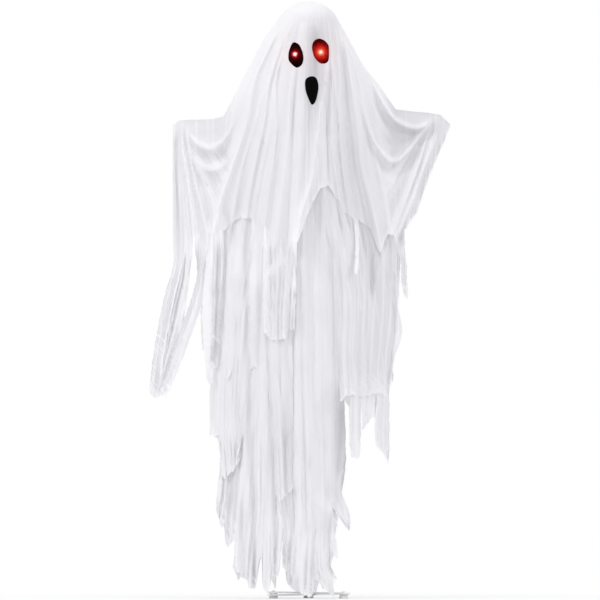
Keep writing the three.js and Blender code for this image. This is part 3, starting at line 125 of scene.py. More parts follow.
# Ridges of the folds in front: height, half width, points (x, z) from the top down
FRONT_FOLDS = [
    (15, 15, LEFT_GUIDE),
    (13, 11,
     [(-63, 1723), (-92, 1640), (-121, 1538), (-132, 1448), (-156, 1333), (-175, 1231), (-186, 1150)]),
    (7, 8, [(-72, 1735), (-108, 1610), (-142, 1500), (-176, 1380), (-206, 1280), (-226, 1170)]),
    (10, 9, [(-75, 1650), (-92, 1595), (-98, 1448), (-105, 1320), (-124, 1192), (-143, 975), (-155, 700)]),
    (9, 8, [(-50, 1600), (-60, 1397), (-79, 1231), (-92, 1103), (-124, 900), (-135, 760)]),
    (6, 18, [(-28, 1500), (-28, 1314), (-40, 1150)]),
    (2, 60, [(-90, 1600), (-112, 1470), (-132, 1330), (-158, 1190), (-170, 1080)]),
    (2, 50, [(-50, 1420), (-66, 1300), (-92, 1150), (-104, 1050)]),
    (-12, 34, [(22, 1752), (24, 1660), (20, 1570), (8, 1480), (0, 1420)]),
    (13, 10, [(60, 1640), (52, 1560), (42, 1486), (30, 1397), (10, 1257), (-22, 1154), (-35, 1058)]),
    (12, 8, [(71, 1650), (70, 1540), (68, 1448), (77, 1312), (90, 1223), (96, 1180)]),
    (9, 8, [(81, 1742), (90, 1640), (94, 1550), (92, 1440), (102, 1300), (120, 1170)]),
    (15, 14, RIGHT_GUIDE),
    (9, 9, [(104, 1722), (148, 1580), (172, 1470), (196, 1370), (222, 1250), (250, 1100)]),
    (-8, 16, [(98, 1700), (112, 1560), (118, 1400), (128, 1290), (146, 1160)]),
    (-7, 6, [(57, 1530), (55, 1400), (56, 1300), (57, 1243)]),
    (-5, 11, [(-30, 1640), (-44, 1480), (-48, 1300), (-60, 1120)]),
    (13, 9, [(-374, 1440), (-358, 1370), (-330, 1290), (-300, 1235), (-275, 1180), (-262, 1110)]),
    (9, 7, [(-386, 1432), (-372, 1320), (-352, 1200), (-343, 1095)]),
    (7, 7, [(-368, 1400), (-340, 1250), (-316, 1160), (-304, 1100)]),
    (-9, 15, [(-400, 1425), (-398, 1250), (-388, 1080)]),
    (10, 10, [(392, 1445), (350, 1310), (318, 1215), (285, 1135)]),
    (7, 7, [(400, 1435), (362, 1335), (325, 1240)]),
    (-9, 18, [(428, 1425), (378, 1310), (330, 1175), (292, 1110)]),
    (6, 8, [(372, 1440), (325, 1290), (285, 1180), (255, 1100)]),
]

# Swags between the head and the hands: height, reach above, reach below, points (x, z)
FRONT_SWAGS = [
    (20, 60, 13,
     [(-372, 1425), (-355, 1392), (-322, 1362), (-284, 1358), (-252, 1386), (-222, 1440), (-206, 1490)]),
    (12, 40, 15, [(-362, 1395), (-340, 1330), (-312, 1300), (-276, 1296), (-244, 1320), (-216, 1370)]),
    (20, 60, 12, [(150, 1660), (170, 1610), (189, 1570), (222, 1500), (259, 1446), (295, 1424), (350, 1424),
      (384, 1452)]),
    (17, 36, 12, [(136, 1570), (160, 1480), (180, 1418), (215, 1350), (259, 1316), (300, 1346), (345, 1402),
      (386, 1446)]),
    (5, 30, 10, [(196, 1286), (226, 1268), (262, 1286), (300, 1320)]),
    # These two are hollows with painted shade; the second is nearly flat and is there mostly for its painted
    # shade
    (-11, 26, 26, [(176, 1432), (195, 1398), (222, 1380), (253, 1372), (300, 1384), (350, 1420)]),
    (-1, 34, 34, [(150, 1430), (196, 1388), (222, 1366), (258, 1350), (300, 1364), (360, 1412)]),
]
BACK_SWAGS = [
    (13, 60, 18, [(-376, 1425), (-350, 1380), (-310, 1350), (-270, 1358), (-236, 1410), (-206, 1480)]),
    (13, 60, 18, [(180, 1600), (206, 1520), (250, 1440), (295, 1405), (350, 1415), (386, 1452)]),
    (9, 40, 16, [(170, 1480), (206, 1380), (250, 1320), (300, 1335), (350, 1400)]),
]

# Torn strips that carry the hem on down: hem from, hem to, the strip's left and right edges as points
# (left x, right x, z, forward) from the top down, and its lower edge (share across, rise)
FRONT_STRIPS = [
    (-410, -371, [(-405, -375, 1040, 2), (-437, -405, 903, 5), (-465, -433, 755, 7), (-484, -453, 602, 9)],
     [(0, 14), (0.4, 6), (0.75, 0), (1, 12)]),
    (-369, -348, [(-371, -355, 1010, 6), (-389, -368, 894, 9), (-405, -380, 820, 12), (-440, -412, 690, 14),
      (-468, -440, 606, 15)], [(0, 6), (0.5, 0), (1, 14)]),
    (-330, -302, [(-334, -314, 990, 3), (-361, -324, 885, 9), (-382, -341, 829, 15), (-415, -368, 755, 20),
      (-443, -401, 671, 22), (-462, -431, 602, 23)], [(0, 2), (0.3, 16), (0.6, 4), (1, 0)]),
    (-300, -287, [(-311, -290, 1000, 2), (-321, -287, 871, 3), (-316, -284, 755, 4), (-306, -290, 643, 5)],
     [(0, 18), (0.45, 0), (1, 12)]),
    (-285, -257, [(-284, -255, 1050, 4), (-288, -261, 920, 6), (-293, -266, 800, 8), (-297, -272, 690, 8)],
     [(0, 24), (0.5, 0), (1, 18)]),
    (-172, -137, [(-176, -130, 1040, 0), (-181, -128, 880, 0), (-180, -126, 684, 1)],
     [(0, 0), (0.3, 14), (0.6, 6), (1, 28)]),
    (-136, -35, [(-138, -36, 1000, 4), (-137, -40, 880, 7), (-133, -44, 774, 9)],
     [(0, 30), (0.2, 8), (0.42, 0), (0.6, 10), (0.72, 2), (0.8, 38), (1, 34)]),
    (137, 151, [(141, 153, 1080, 14), (142, 153, 1040, 20), (138, 148, 976, 22)],
     [(0, 8), (0.5, 0), (1, 6)]),
    (262, 291, [(268, 290, 1060, 3), (278, 295, 1016, 4), (281, 299, 942, 6), (292, 302, 900, 7)],
     [(0, 12), (0.6, 0), (1, 8)]),
]
BACK_STRIPS = [
    (-408, -362, [(-402, -364, 1000, 0), (-430, -385, 880, 0), (-450, -410, 780, 0), (-466, -430, 665, 0)],
     [(0, 10), (0.5, 0), (1, 14)]),
    (-344, -282, [(-338, -280, 1010, 0), (-330, -276, 900, 0), (-322, -282, 745, 0)],
     [(0, 0), (0.6, 14), (1, 4)]),
    (-270, -222, [(-268, -222, 980, 2), (-268, -232, 820, 4)], [(0, 12), (0.4, 0), (1, 20)]),
    (-150, -92, [(-152, -96, 860, 4), (-150, -102, 740, 6)], [(0, 0), (0.5, 16), (1, 6)]),
    (-40, 34, [(-40, 32, 860, 4), (-40, 24, 760, 6)], [(0, 14), (0.35, 0), (0.7, 20), (1, 8)]),
    (96, 160, [(98, 158, 880, 4), (106, 158, 800, 6)], [(0, 6), (0.5, 18), (1, 0)]),
    (236, 280, [(240, 276, 980, 2), (246, 272, 880, 4)], [(0, 10), (0.6, 0), (1, 12)]),
]

# Gown: its sides (height, x), and its depth
GOWN_TOP = 1392.0
GOWN_LEFT = [
    (0, -232), (76, -262), (480, -290), (770, -292), (960, -292), (1090, -280), (1160, -262), (1400, -180),
]
GOWN_RIGHT = [
    (0, 128), (200, 132), (330, 240), (400, 246), (660, 246), (800, 264), (1000, 266), (1090, 264),
    (1160, 240), (1400, 180),
]
COLUMN_LEFT = [(0, -250), (229, -275), (356, -262), (420, -262), (560, -275), (1392, -210)]
COLUMN_RIGHT = [(0, 100), (200, 142), (387, 128), (560, 130), (660, 190), (1392, 170)]
SIDE_CLOSE = 1.03  # brings the gown's sides together just inside its outline
GOWN_DEPTH_TOP = 118.0
GOWN_SPREAD = 24.0
GOWN_HEM_SPREAD = 26.0
GOWN_GAP = 3.0
GOWN_INSET = 6.0
COLUMN_DEPTH = 150.0
COLUMN_FREE = 40.0  # room that the inner column gains at the bottom
INNER_SETBACK = 3.0  # how far the inner layer hangs behind the outer one
PANEL_COLUMN = 4.0
PANEL_ROW = 10.0
STRIP_ROW = 4.0
STRIP_PROUD = 11.0
LAYER_STEP = 0.42
TORN_DEPTH = 5.0
RIM = 8.0  # width of a panel's edge that leans back
END_REACH = 32.0  # height of the creased part above a torn end
SHEET_CLEAR = 4.0  # of the gown behind the sheet's folds
GOWN_PLEATS = 88  # seed of the wave that all the panels share
PLEAT_WAVE = 4.0
PLEAT_CREST = 3.5
SWAY = 1.6
RIM_LEAN = 6.0
TIP_SHADE = 230.0  # height below which the gown's tips turn greyer

# Panels of the gown: layer steps in front of the gown's own face, left and right edges as points (x, z)
# from the top down, and lower edge as points (share across, z)
OUTER_FRONT = [
    (8, [(-180, 1392), (-262, 1160), (-280, 1090), (-288, 960), (-299, 489), (-299, 400)],
     [(-130, 1392), (-215, 1160), (-236, 1080), (-250, 930), (-268, 487), (-268, 400)],
     [(0, 488), (0.35, 492), (0.6, 484), (1, 494)]),
    (4, [(-160, 1392), (-226, 1150), (-252, 1060), (-256, 900), (-274, 500), (-262, 356), (-262, 300)],
     [(-90, 1392), (-120, 1080), (-170, 900), (-196, 600), (-204, 300)],
     [(0, 374), (0.12, 356), (0.35, 372), (0.62, 384), (0.85, 410), (1, 424)]),
    (12, [(-160, 1392), (-228, 1120), (-242, 960), (-252, 760), (-258, 640)],
     [(-140, 1392), (-196, 1120), (-212, 960), (-226, 760), (-238, 640)],
     [(0, 660), (0.3, 668), (0.6, 652), (1, 684)]),
    (10, [(-130, 1392), (-160, 1080), (-200, 860), (-222, 560), (-228, 410)],
     [(-92, 1392), (-116, 1080), (-150, 860), (-188, 560), (-208, 410)],
     [(0, 470), (0.35, 446), (0.6, 426), (1, 480)]),
    (7, [(-110, 1392), (-124, 1080), (-142, 800), (-114, 560), (-96, 280)],
     [(-40, 1392), (-40, 1080), (-48, 800), (-46, 560), (-46, 280)],
     [(0, 316), (0.2, 290), (0.45, 304), (0.75, 318), (1, 330)]),
    (14, [(-86, 1392), (-90, 1080), (-84, 780), (-80, 560), (-72, 440)],
     [(-66, 1392), (-64, 1080), (-60, 780), (-58, 560), (-62, 440)], [(0, 470), (0.4, 446), (1, 500)]),
    (6, [(30, 1392), (32, 1240), (60, 1080), (84, 900), (88, 700), (95, 610), (94, 560)],
     [(180, 1392), (238, 1160), (262, 1085), (266, 960), (264, 850), (253, 740), (244, 620), (244, 560)],
     [(0, 592), (0.1, 606), (0.25, 614), (0.45, 606), (0.62, 614), (0.8, 618), (0.9, 608), (1, 616)]),
    (4, [(70, 1392), (90, 1080), (112, 800), (120, 640), (124, 420)],
     [(100, 1392), (120, 1080), (150, 800), (158, 640), (156, 420)],
     [(0, 436), (0.35, 422), (0.75, 420), (1, 430)]),
    (3, [(100, 1392), (120, 1080), (150, 800), (159, 640), (161, 500)],
     [(140, 1392), (160, 1080), (190, 800), (200, 640), (199, 500)],
     [(0, 505), (0.4, 522), (0.8, 545), (1, 552)]),
    (5, [(140, 1392), (165, 1080), (198, 800), (208, 640), (208, 450), (232, 395)],
     [(166, 1392), (196, 1080), (238, 800), (243, 640), (244, 450), (242, 395)],
     [(0, 455), (0.3, 440), (0.6, 420), (0.85, 402), (1, 430)]),
    (9, [(158, 1392), (190, 1080), (246, 900), (256, 815), (247, 730), (250, 640)],
     [(172, 1392), (204, 1080), (266, 900), (277, 770), (260, 730), (258, 640)],
     [(0, 664), (0.5, 648), (1, 668)]),
]
INNER_FRONT = [
    (-8, [(-150, 1392), (-175, 1080), (-215, 700), (-232, 420), (-251, 356), (-256, 300), (-269, 229),
      (-269, 150)], [(-110, 1392), (-130, 1080), (-172, 700), (-190, 420), (-200, 150)],
     [(0, 229), (0.12, 208), (0.24, 218), (0.27, 166), (0.38, 149), (0.62, 178), (1, 170)]),
    (3, [(-130, 1392), (-150, 1080), (-196, 700), (-210, 420), (-211, 387), (-217, 294), (-220, 202),
      (-223, 60)],
     [(-76, 1392), (-96, 1080), (-136, 700), (-148, 420), (-158, 300), (-174, 100), (-180, 30)],
     [(0, 91), (0.2, 76), (0.3, 80), (0.45, 57), (0.65, 64), (0.85, 48), (1, 40)]),
    (6, [(-105, 1392), (-125, 1080), (-158, 700), (-167, 387), (-166, 263), (-174, 186), (-180, 125),
      (-184, 30)], [(-55, 1392), (-66, 1080), (-92, 700), (-97, 387), (-101, 200), (-100, 140), (-106, 20)],
     [(0, 38), (0.06, 29), (0.33, 30), (0.37, 60), (0.42, 110), (0.48, 126), (0.53, 110), (0.55, 50),
      (0.57, 30), (0.63, 28), (0.75, 17), (0.86, 32), (0.9, 66), (1, 68)]),
    (-6, [(-85, 1392), (-85, 1080), (-100, 700), (-104, 420), (-104, 200), (-112, 60)],
     [(-50, 1392), (-50, 1080), (-84, 700), (-92, 400), (-92, 285), (-78, 238), (-78, 189), (-83, 146),
      (-85, 100), (-97, 60)], [(0, 69), (0.5, 62), (1, 66)]),
    (-3, [(-80, 1392), (-84, 1080), (-106, 700), (-104, 400), (-92, 282), (-78, 239), (-75, 189),
      (-80, 152), (-77, 80)], [(-8, 1392), (-8, 1080), (-18, 700), (-18, 400), (-24, 250), (-44, 85)],
     [(0, 94), (0.35, 81), (0.5, 86), (0.62, 88), (0.7, 128), (1, 126)]),
    (8, [(-34, 1392), (-36, 1080), (-44, 700), (-46, 420), (-46, 309), (-41, 257), (-54, 124), (-55, 40)],
     [(24, 1392), (28, 1200), (28, 700), (24, 300), (22, 72), (20, 10)],
     [(0, 78), (0.06, 54), (0.19, 41), (0.27, 54), (0.3, 32), (0.39, 20), (0.67, 4), (0.88, 8), (0.97, 26),
      (1, 70)]),
    (3, [(0, 1392), (2, 1200), (2, 700), (2, 300), (14, 60)],
     [(60, 1392), (72, 1080), (76, 700), (76, 300), (66, 140), (71, 88), (86, 60)],
     [(0, 69), (0.28, 44), (0.42, 23), (0.6, 5), (0.68, 17), (0.74, 41), (0.9, 54), (1, 60)]),
    (0, [(50, 1392), (60, 1080), (64, 700), (60, 300), (60, 140)],
     [(80, 1392), (96, 1080), (98, 700), (92, 400), (72, 288), (77, 211), (85, 165), (87, 110)],
     [(0, 150), (0.2, 143), (1, 118)]),
    (-12, [(60, 1392), (70, 1080), (76, 700), (72, 300), (72, 200)],
     [(84, 1392), (94, 1080), (98, 700), (94, 300), (82, 263), (88, 217), (86, 200)],
     [(0, 225), (0.7, 212), (1, 217)]),
    (8, [(58, 1392), (64, 1080), (68, 700), (66, 420), (70, 288), (85, 254), (94, 239), (124, 203)],
     [(90, 1392), (100, 1080), (104, 700), (105, 387), (100, 356), (103, 310), (122, 263), (126, 200)],
     [(0, 206), (1, 203)]),
]
OUTER_BACK = [
    (6, [(-176, 1392), (-206, 1080), (-276, 900), (-292, 600), (-292, 380)],
     [(-80, 1392), (-100, 1080), (-150, 900), (-176, 600), (-180, 380)],
     [(0, 500), (0.2, 470), (0.45, 430), (0.6, 470), (0.8, 440), (1, 410)]),
    (9, [(-90, 1392), (-110, 1080), (-160, 900), (-180, 560), (-176, 300)],
     [(-5, 1392), (-10, 1080), (-30, 900), (-44, 560), (-52, 300)],
     [(0, 390), (0.25, 420), (0.5, 340), (0.75, 372), (1, 330)]),
    (6, [(-16, 1392), (-20, 1080), (-40, 900), (-40, 600), (-34, 420)],
     [(80, 1392), (90, 1080), (110, 900), (110, 600), (96, 420)],
     [(0, 520), (0.3, 470), (0.55, 520), (0.75, 455), (1, 500)]),
    (9, [(70, 1392), (80, 1080), (100, 900), (106, 620), (110, 440)],
     [(176, 1392), (206, 1085), (262, 980), (262, 800), (246, 620), (240, 440)],
     [(0, 600), (0.2, 560), (0.4, 610), (0.6, 540), (0.8, 560), (1, 640)]),
]
INNER_BACK = [
    (0, [(-150, 1392), (-176, 1080), (-236, 700), (-268, 400), (-270, 220), (-238, 150)],
     [(-90, 1392), (-110, 1080), (-160, 700), (-190, 400), (-206, 220), (-210, 150)],
     [(0, 262), (0.1, 230), (0.25, 258), (0.42, 204), (0.52, 220), (0.7, 150), (0.82, 168), (1, 240)]),
    (2, [(-110, 1392), (-130, 1080), (-190, 700), (-214, 300), (-232, 20)],
     [(-40, 1392), (-50, 1080), (-80, 700), (-100, 300), (-110, 20)],
     [(0, 90), (0.15, 50), (0.3, 76), (0.5, 30), (0.6, 60), (0.63, 150), (0.7, 150), (0.74, 60), (0.85, 26),
      (1, 84)]),
    (0, [(-50, 1392), (-60, 1080), (-94, 700), (-112, 300), (-116, 10)],
     [(30, 1392), (34, 1080), (26, 700), (20, 300), (18, 10)],
     [(0, 60), (0.12, 20), (0.17, 150), (0.24, 180), (0.31, 150), (0.35, 48), (0.6, 8), (0.8, 34),
      (1, 70)]),
    (2, [(20, 1392), (24, 1080), (14, 700), (8, 300), (10, 10)],
     [(90, 1392), (104, 1080), (106, 700), (100, 300), (84, 210), (74, 120), (66, 10)],
     [(0, 40), (0.2, 9), (0.4, 46), (0.6, 20), (0.8, 66), (1, 120)]),
]

# Layers of the gown: name, panels, front, seed, solid that it stands for, flat size and area in metres
GOWN_PIECES = [
    ("gown_outer_front", OUTER_FRONT, True, 301, ("gown_front",), (0.85, 1.1), 0.76),
    ("gown_inner_front", INNER_FRONT, True, 401, (), (0.75, 1.45), 0.94),
    ("gown_outer_back", OUTER_BACK, False, 501, ("gown_back",), (0.7, 1.1), 0.56),
    ("gown_inner_back", INNER_BACK, False, 601, (), (0.6, 1.45), 0.71),
]

STRAP_X = 120.0
STRAP_WIDTH = 26.0

# Face: outlines in the front view, and the lamps behind the mesh
EYE_LEFT = [
    (-43, 1677), (-30, 1671), (-21, 1655), (-16.5, 1640), (-15.5, 1624), (-20.5, 1609), (-32, 1600.5),
    (-42, 1603), (-53, 1613), (-60, 1624), (-60.5, 1642), (-57.5, 1655), (-51, 1671),
]
EYE_RIGHT = [
    (31, 1688), (45, 1684), (56, 1674.5), (61, 1665), (62, 1645), (61, 1626), (55, 1615.5), (43, 1612.5),
    (32, 1616), (19, 1630), (12, 1650), (10.8, 1666), (17, 1681),
]
MOUTH = [
    (10.5, 1574.5), (21.5, 1570.5), (27.5, 1560), (30, 1543.5), (28.5, 1527), (25, 1511), (20.5, 1497.5),
    (13, 1489), (7, 1492), (-1, 1509), (-7.5, 1527), (-10.5, 1546), (-10, 1560), (-4, 1569.5),
]
LAMP_LEFT = (-41.0, 1641.0)
LAMP_RIGHT = (37.0, 1647.0)
PATCH_PROUD = 1.2
# Rings of a patch: share of the way out to its rim, and share of its height above the sheet
PATCH_RINGS = [
    (0.001, 1), (0.12, 1), (0.25, 1), (0.38, 1), (0.5, 1), (0.62, 1), (0.74, 1), (0.84, 1), (0.92, 1.15),
    (0.965, 1.35), (0.99, 0.8), (1.0, 0.05),
]

# Camera: the height that it frames at the figure, and its place, in metres
FRAME_HEIGHT = 1.812
CAMERA_X = -0.0257
CAMERA_Z = 0.900
CAMERA_DISTANCE = 60.0
SENSOR = 36.0  # mm

# Light: each lamp's name, place, size and power, then the place that they shine at
LAMPS = [
    ("key", (-3.3, -2.0, 3.8), 1.8, 70), ("fill", (3.3, -2.0, 3.0), 1.8, 36),
    ("back", (1.2, 3.0, 2.8), 2.0, 14),
]
LIT_PLACE = (0, 0, 1.1)
SHADOW_FADE = (0.3, 1.3)  # from the pole out to where the camera sees no more shadow
SHADOW_SHARE = 0.45
WHITE = (1, 1, 1, 1)
FLOOR_GREY = (0.72, 0.72, 0.72, 1)
SKY = (0.98, 0.975, 1.0, 1)
SKY_LEVELS = (0.42, 1.16)  # from below and from above

# Colours: of the gauze, with the painted shade and painted highlight that its ramp runs to, and of the red
# light, by share of the way out from the lamp
PAINTED_SHADE_GAUZE = (0.60, 0.595, 0.62)
THIN_GAUZE = (0.92, 0.917, 0.933)
THIN_GOWN = (0.935, 0.932, 0.945)
PAINTED_HIGHLIGHT_GAUZE = (0.97, 0.969, 0.975)
RED_WIDE = [
    (0.0, (1.0, 0.95, 0.85)), (0.09, (1.0, 0.82, 0.62)), (0.17, (0.95, 0.26, 0.13)),
    (0.3, (0.72, 0.035, 0.022)), (0.5, (0.4, 0.006, 0.004)), (0.72, (0.13, 0.0, 0.0)),
    (1.0, (0.01, 0.0, 0.0)),
]
RED_SMALL = [
    (0.0, (1.0, 0.97, 0.97)), (0.1, (1.0, 0.92, 0.92)), (0.17, (0.8, 0.08, 0.09)),
    (0.26, (0.2, 0.0, 0.002)), (0.45, (0.035, 0.0, 0.0)), (0.7, (0.008, 0.0, 0.0)),
    (1.0, (0.001, 0.0, 0.0)),
]


# Shapes of the cloth


def smooth(value, start=0.0, end=1.0):
    """0 before the start and 1 past the end, with a soft rise between them. The end may be the lower one."""
    s = np.clip((value - start) / (end - start), 0.0, 1.0)
    return s * s * (3 - 2 * s)


def hump(value, centre, width):
    """A soft hump of height 1 about a centre."""
    return np.exp(-(((value - centre) / width) ** 2))


def near_edge(distance, reach):
    """1 at an edge, fading out with the distance above it."""
    return np.exp(-np.maximum(distance, 0) / reach)


def along(line, x):
    points = np.array(line, float)
    return np.interp(x, points[:, 0], points[:, 1])


def curve(points, t):
    """A smooth line through points (t, value), straight beyond both ends."""
    line = np.array(points, float)
    at, value = line[:, 0], line[:, 1]
    slope = np.gradient(value, at)
    i = np.clip(np.searchsorted(at, t) - 1, 0, len(at) - 2)
    span = at[i + 1] - at[i]
    s = np.clip((t - at[i]) / span, 0, 1)
    rise, out, back = value[i + 1] - value[i], slope[i] * span, slope[i + 1] * span
    inside = value[i] + s * (out + s * (3 * rise - 2 * out - back + s * (out + back - 2 * rise)))
    return inside + np.minimum(0, t - at[0]) * slope[0] + np.maximum(0, t - at[-1]) * slope[-1]


def edge_at(points, z, item=0):
    """x, or another item, of a line given from the top down, at a height."""
    height = 1 if len(points[0]) == 2 else 2
    return curve([(point[height], point[item]) for point in points[::-1]], z)


def ripple(t, seed, shortest, longest, count=7):
    """A smooth random wave about zero, of wavelengths between two sizes."""
    random = np.random.default_rng(seed)
    total = np.zeros(np.shape(t))
    for length in np.geomspace(shortest, longest, count):
        turned = t * 2 * math.pi / (length * random.uniform(0.9, 1.1))
        total = total + np.sin(turned + random.uniform(0, 6.28))
    return total / math.sqrt(count)


def creases(t, seed, shortest, longest):
    """Sharp crests with round valleys between them, from 0 to 1."""
    return np.maximum(0, 1 - 1.5 * np.abs(ripple(t, seed, shortest, longest)))


def ridge_height(x):
    """The height of the sheet's top line, over the crown, the shoulders and the arms."""
    reach = CROWN_RADIUS * CROWN_EDGE
    crown = HEAD_CENTRE + np.sqrt(np.maximum(CROWN_RADIUS**2 - np.minimum(np.abs(x), reach) ** 2, 0))
    return np.where(np.abs(x) < reach, crown, along(RIDGE, x))


def middle_plane(x):
    return SHOULDER_BACK * smooth(np.abs(x), NECK_X, HINGE_X)


def at_arm(x):
    """From 0 in the middle of the sheet to 1 over the arms."""
    return smooth(np.abs(x), *ARM_START)


def sheet_depth(x, z):
    """How far the sheet stands in front of or behind its middle plane, without its folds."""
    out = smooth(1 - np.abs(x) / BODY_REACH)
    flare = FLARE * np.maximum(0, HEAD_CENTRE - z)
    most = WING_DEPTH + (BODY_DEPTH + flare - WING_DEPTH) * out
    drop = np.maximum(0, ridge_height(x) - z)
    hung = most * np.sqrt(1 - np.exp(-2 * (ARM_BEND + BODY_BEND * out) * drop / most**2))
    up = np.maximum(0, z - HEAD_CENTRE) / CROWN_RADIUS
    on_head = CROWN_RADIUS * HEAD_DEPTH_SHARE * np.sqrt(np.maximum(0, 1 - (x / CROWN_RADIUS) ** 2 - up**2))
    return (hung**4 + on_head**4) ** 0.25


def fold_bump(x, z, height, width, points):
    """One fold: its height, and its painted light: a painted highlight along its crest, or painted shade in
    its hollow.
    """
    fall = points[0][1] - z
    wide = width * (0.5 + 0.5 * smooth(fall / FOLD_OPENING))
    away = np.abs(x - edge_at(points, z)) / wide
    shape = 0.55 * hump(away, 0, 1) + 0.45 * np.exp(-1.6 * away)
    crest = 0.8 * np.exp(-((2.6 * away) ** 2)) if height > 0 else -0.42 * shape
    start = smooth(fall / FOLD_START)
    return height * start * shape, start * crest


def swag_bump(x, z, height, above, below, points):
    """A fold that hangs like a garland: its height, full above its lower edge, and the painted highlight
    along that edge, or painted shade if it is a hollow.
    """
    over = z - curve(points, x)
    shape = np.where(over > 0, np.exp(-((np.maximum(over, 0) / above) ** 1.5)), hump(over, 0, below))
    fade_left, fade_right = SWAG_FADES if points[0][0] > 0 else SWAG_FADES[::-1]
    ends = smooth((x - points[0][0]) / fade_left) * smooth((points[-1][0] - x) / fade_right)
    if height < 0:
        return height * shape * ends, -0.25 * shape * ends
    share = np.clip((x - points[0][0]) / (points[-1][0] - points[0][0]), 0, 1)
    shape = shape - 2.8 * share * (1 - share) * hump(over, -3 * below, 1.9 * below)
    return height * shape * ends, 0.45 * hump(over, 6, 9) * ends


def clear_of_ridge(x, z):
    """0 on the ridge and the crown, where the cloth lies tight, and 1 where it hangs."""
    beside = smooth((np.abs(x) - 0.8 * CROWN_RADIUS) / 60)
    tight = np.maximum(beside, smooth((BROW - z) / TIGHT_REACH))
    return smooth((ridge_height(x) - z) / TIGHT_REACH) * tight


def beside_guides(x, z):
    """The place across the sheet as a share of the way to the long fold on that side."""
    guide = np.where(x < 0, -edge_at(LEFT_GUIDE, z), edge_at(RIGHT_GUIDE, z))
    return x / np.maximum(30, guide)


def cloth_across(x, z):
    """The place across the cloth that its crinkles run down from: beside the folds, straight at the arms."""
    return ARM_START[0] * beside_guides(x, z) * (1 - at_arm(x)) + x * at_arm(x)


def fine_folds(x, z, seed):
    """Small folds that fan out from the brow, beside the two long ones, and from the hands."""
    below = np.maximum(40, FOCUS - z)
    angle = 0.45 * beside_guides(x, z)
    fans = creases(angle, seed, *FAN_WAVES) * (1 - 0.4 * smooth(below, 150, 350))
    fine = creases(angle, seed + 1, *FINE_WAVES) * smooth(below, 150, 400)
    face = 1 - 0.6 * hump(x, 12, 45) * smooth(z, 1460, 1530) * smooth(z, 1755, 1715)
    fans = fans * (1 + 0.3 * smooth(z, 1600, 1700))
    inside = smooth((HINGE_X + 40 - np.abs(x)) / 60)
    hand_angle = np.arctan2(np.abs(x) - HAND_X, np.maximum(40, HAND_FOCUS - z))
    hand = creases(hand_angle, seed + 3, *HAND_WAVES) * smooth(np.abs(x), 205, 265)
    hand = hand * smooth((HAND_FOCUS - 60 - z) / 140)
    folds = (fans + 0.8 * fine) * inside * face + 0.9 * hand
    # The second value is a painted highlight along the small folds' crests
    return FINE_HEIGHT * folds, 0.5 * np.minimum(folds, 1) ** 2


def back_wave(x, z):
    """The even folds that run down the sheet's back."""
    below = np.maximum(1, FOCUS - z)
    angle = np.arctan2(x, below)
    grow = smooth(below, 110, 390) * smooth((HINGE_X + 30 - np.abs(x)) / 60)
    wave = np.cos(angle * BACK_TURNS + 0.8 * np.sin(angle * 9 + 1))
    # The second value is a painted highlight along the back folds' crests
    return BACK_FOLD * grow * wave, grow * smooth((wave - 0.8) / 0.2)


def painted_shade_amount(x, z):
    """Painted shade: how much greyer the cloth's colour is made over the arms, most on their tops, below the
    brow and on the crown.
    """
    face = hump(x, 20, 75) * smooth((BROW + 40 - z) / 55) * smooth(z, 1400, 1540)
    sleeve = np.where(x < 0, LEFT_SHADE, RIGHT_SHADE) + ARM_TOP_SHADE * smooth((z - ridge_height(x) + 90) / 60)
    return sleeve * at_arm(x) + FACE_SHADE * face + CROWN_SHADE * smooth(z, BROW, BROW + 50)


def relief(x, z, front):
    """How far the face stands out from its plain form, and its painted light, from -1 (painted shade) to 1
    (painted highlight).
    """
    height, painted_light = fine_folds(x, z, 11 if front else 23)
    bumps = [fold_bump(x, z, *fold) for fold in FRONT_FOLDS] if front else [back_wave(x, z)]
    bumps += [swag_bump(x, z, *swag) for swag in (FRONT_SWAGS if front else BACK_SWAGS)]
    painted_hollow_shade = 0 * x
    for bump, crest in bumps:
        height = height + bump
        painted_light = np.maximum(painted_light, crest)
        painted_hollow_shade = np.minimum(painted_hollow_shade, crest)
    clear = clear_of_ridge(x, z)
    return np.maximum(height, -DEEPEST) * clear, np.clip((painted_light + painted_hollow_shade) * clear - painted_shade_amount(x, z), -1, 1)


def torn(t, seed, depth):
    """Raggedness of a torn edge, at a place along it in millimetres."""
    return depth * (0.5 * ripple(t, seed, 7, 34) + 0.45 * np.abs(ripple(t, seed + 1, 16, 60, 4)))


def crumpled(x, z, bottom, seed):
    """Small slanting creases above a torn end, from 0 to 1."""
    return creases(x + 0.7 * z, seed, 11, 30) * near_edge(z - bottom, END_REACH)


def edge_highlight(x, z, hem):
    """Painted highlight along a torn edge, reaching up from it unevenly."""
    reach = 7 + 5 * ripple(x, 77, 6, 30)
    return near_edge(z - hem, np.maximum(reach, 2))


def whitened(painted_light, share):
    """Painted light raised towards full painted highlight by a share of what it lacks."""
    return painted_light + (1 - painted_light) * np.clip(share, 0, 1)


# The sheet


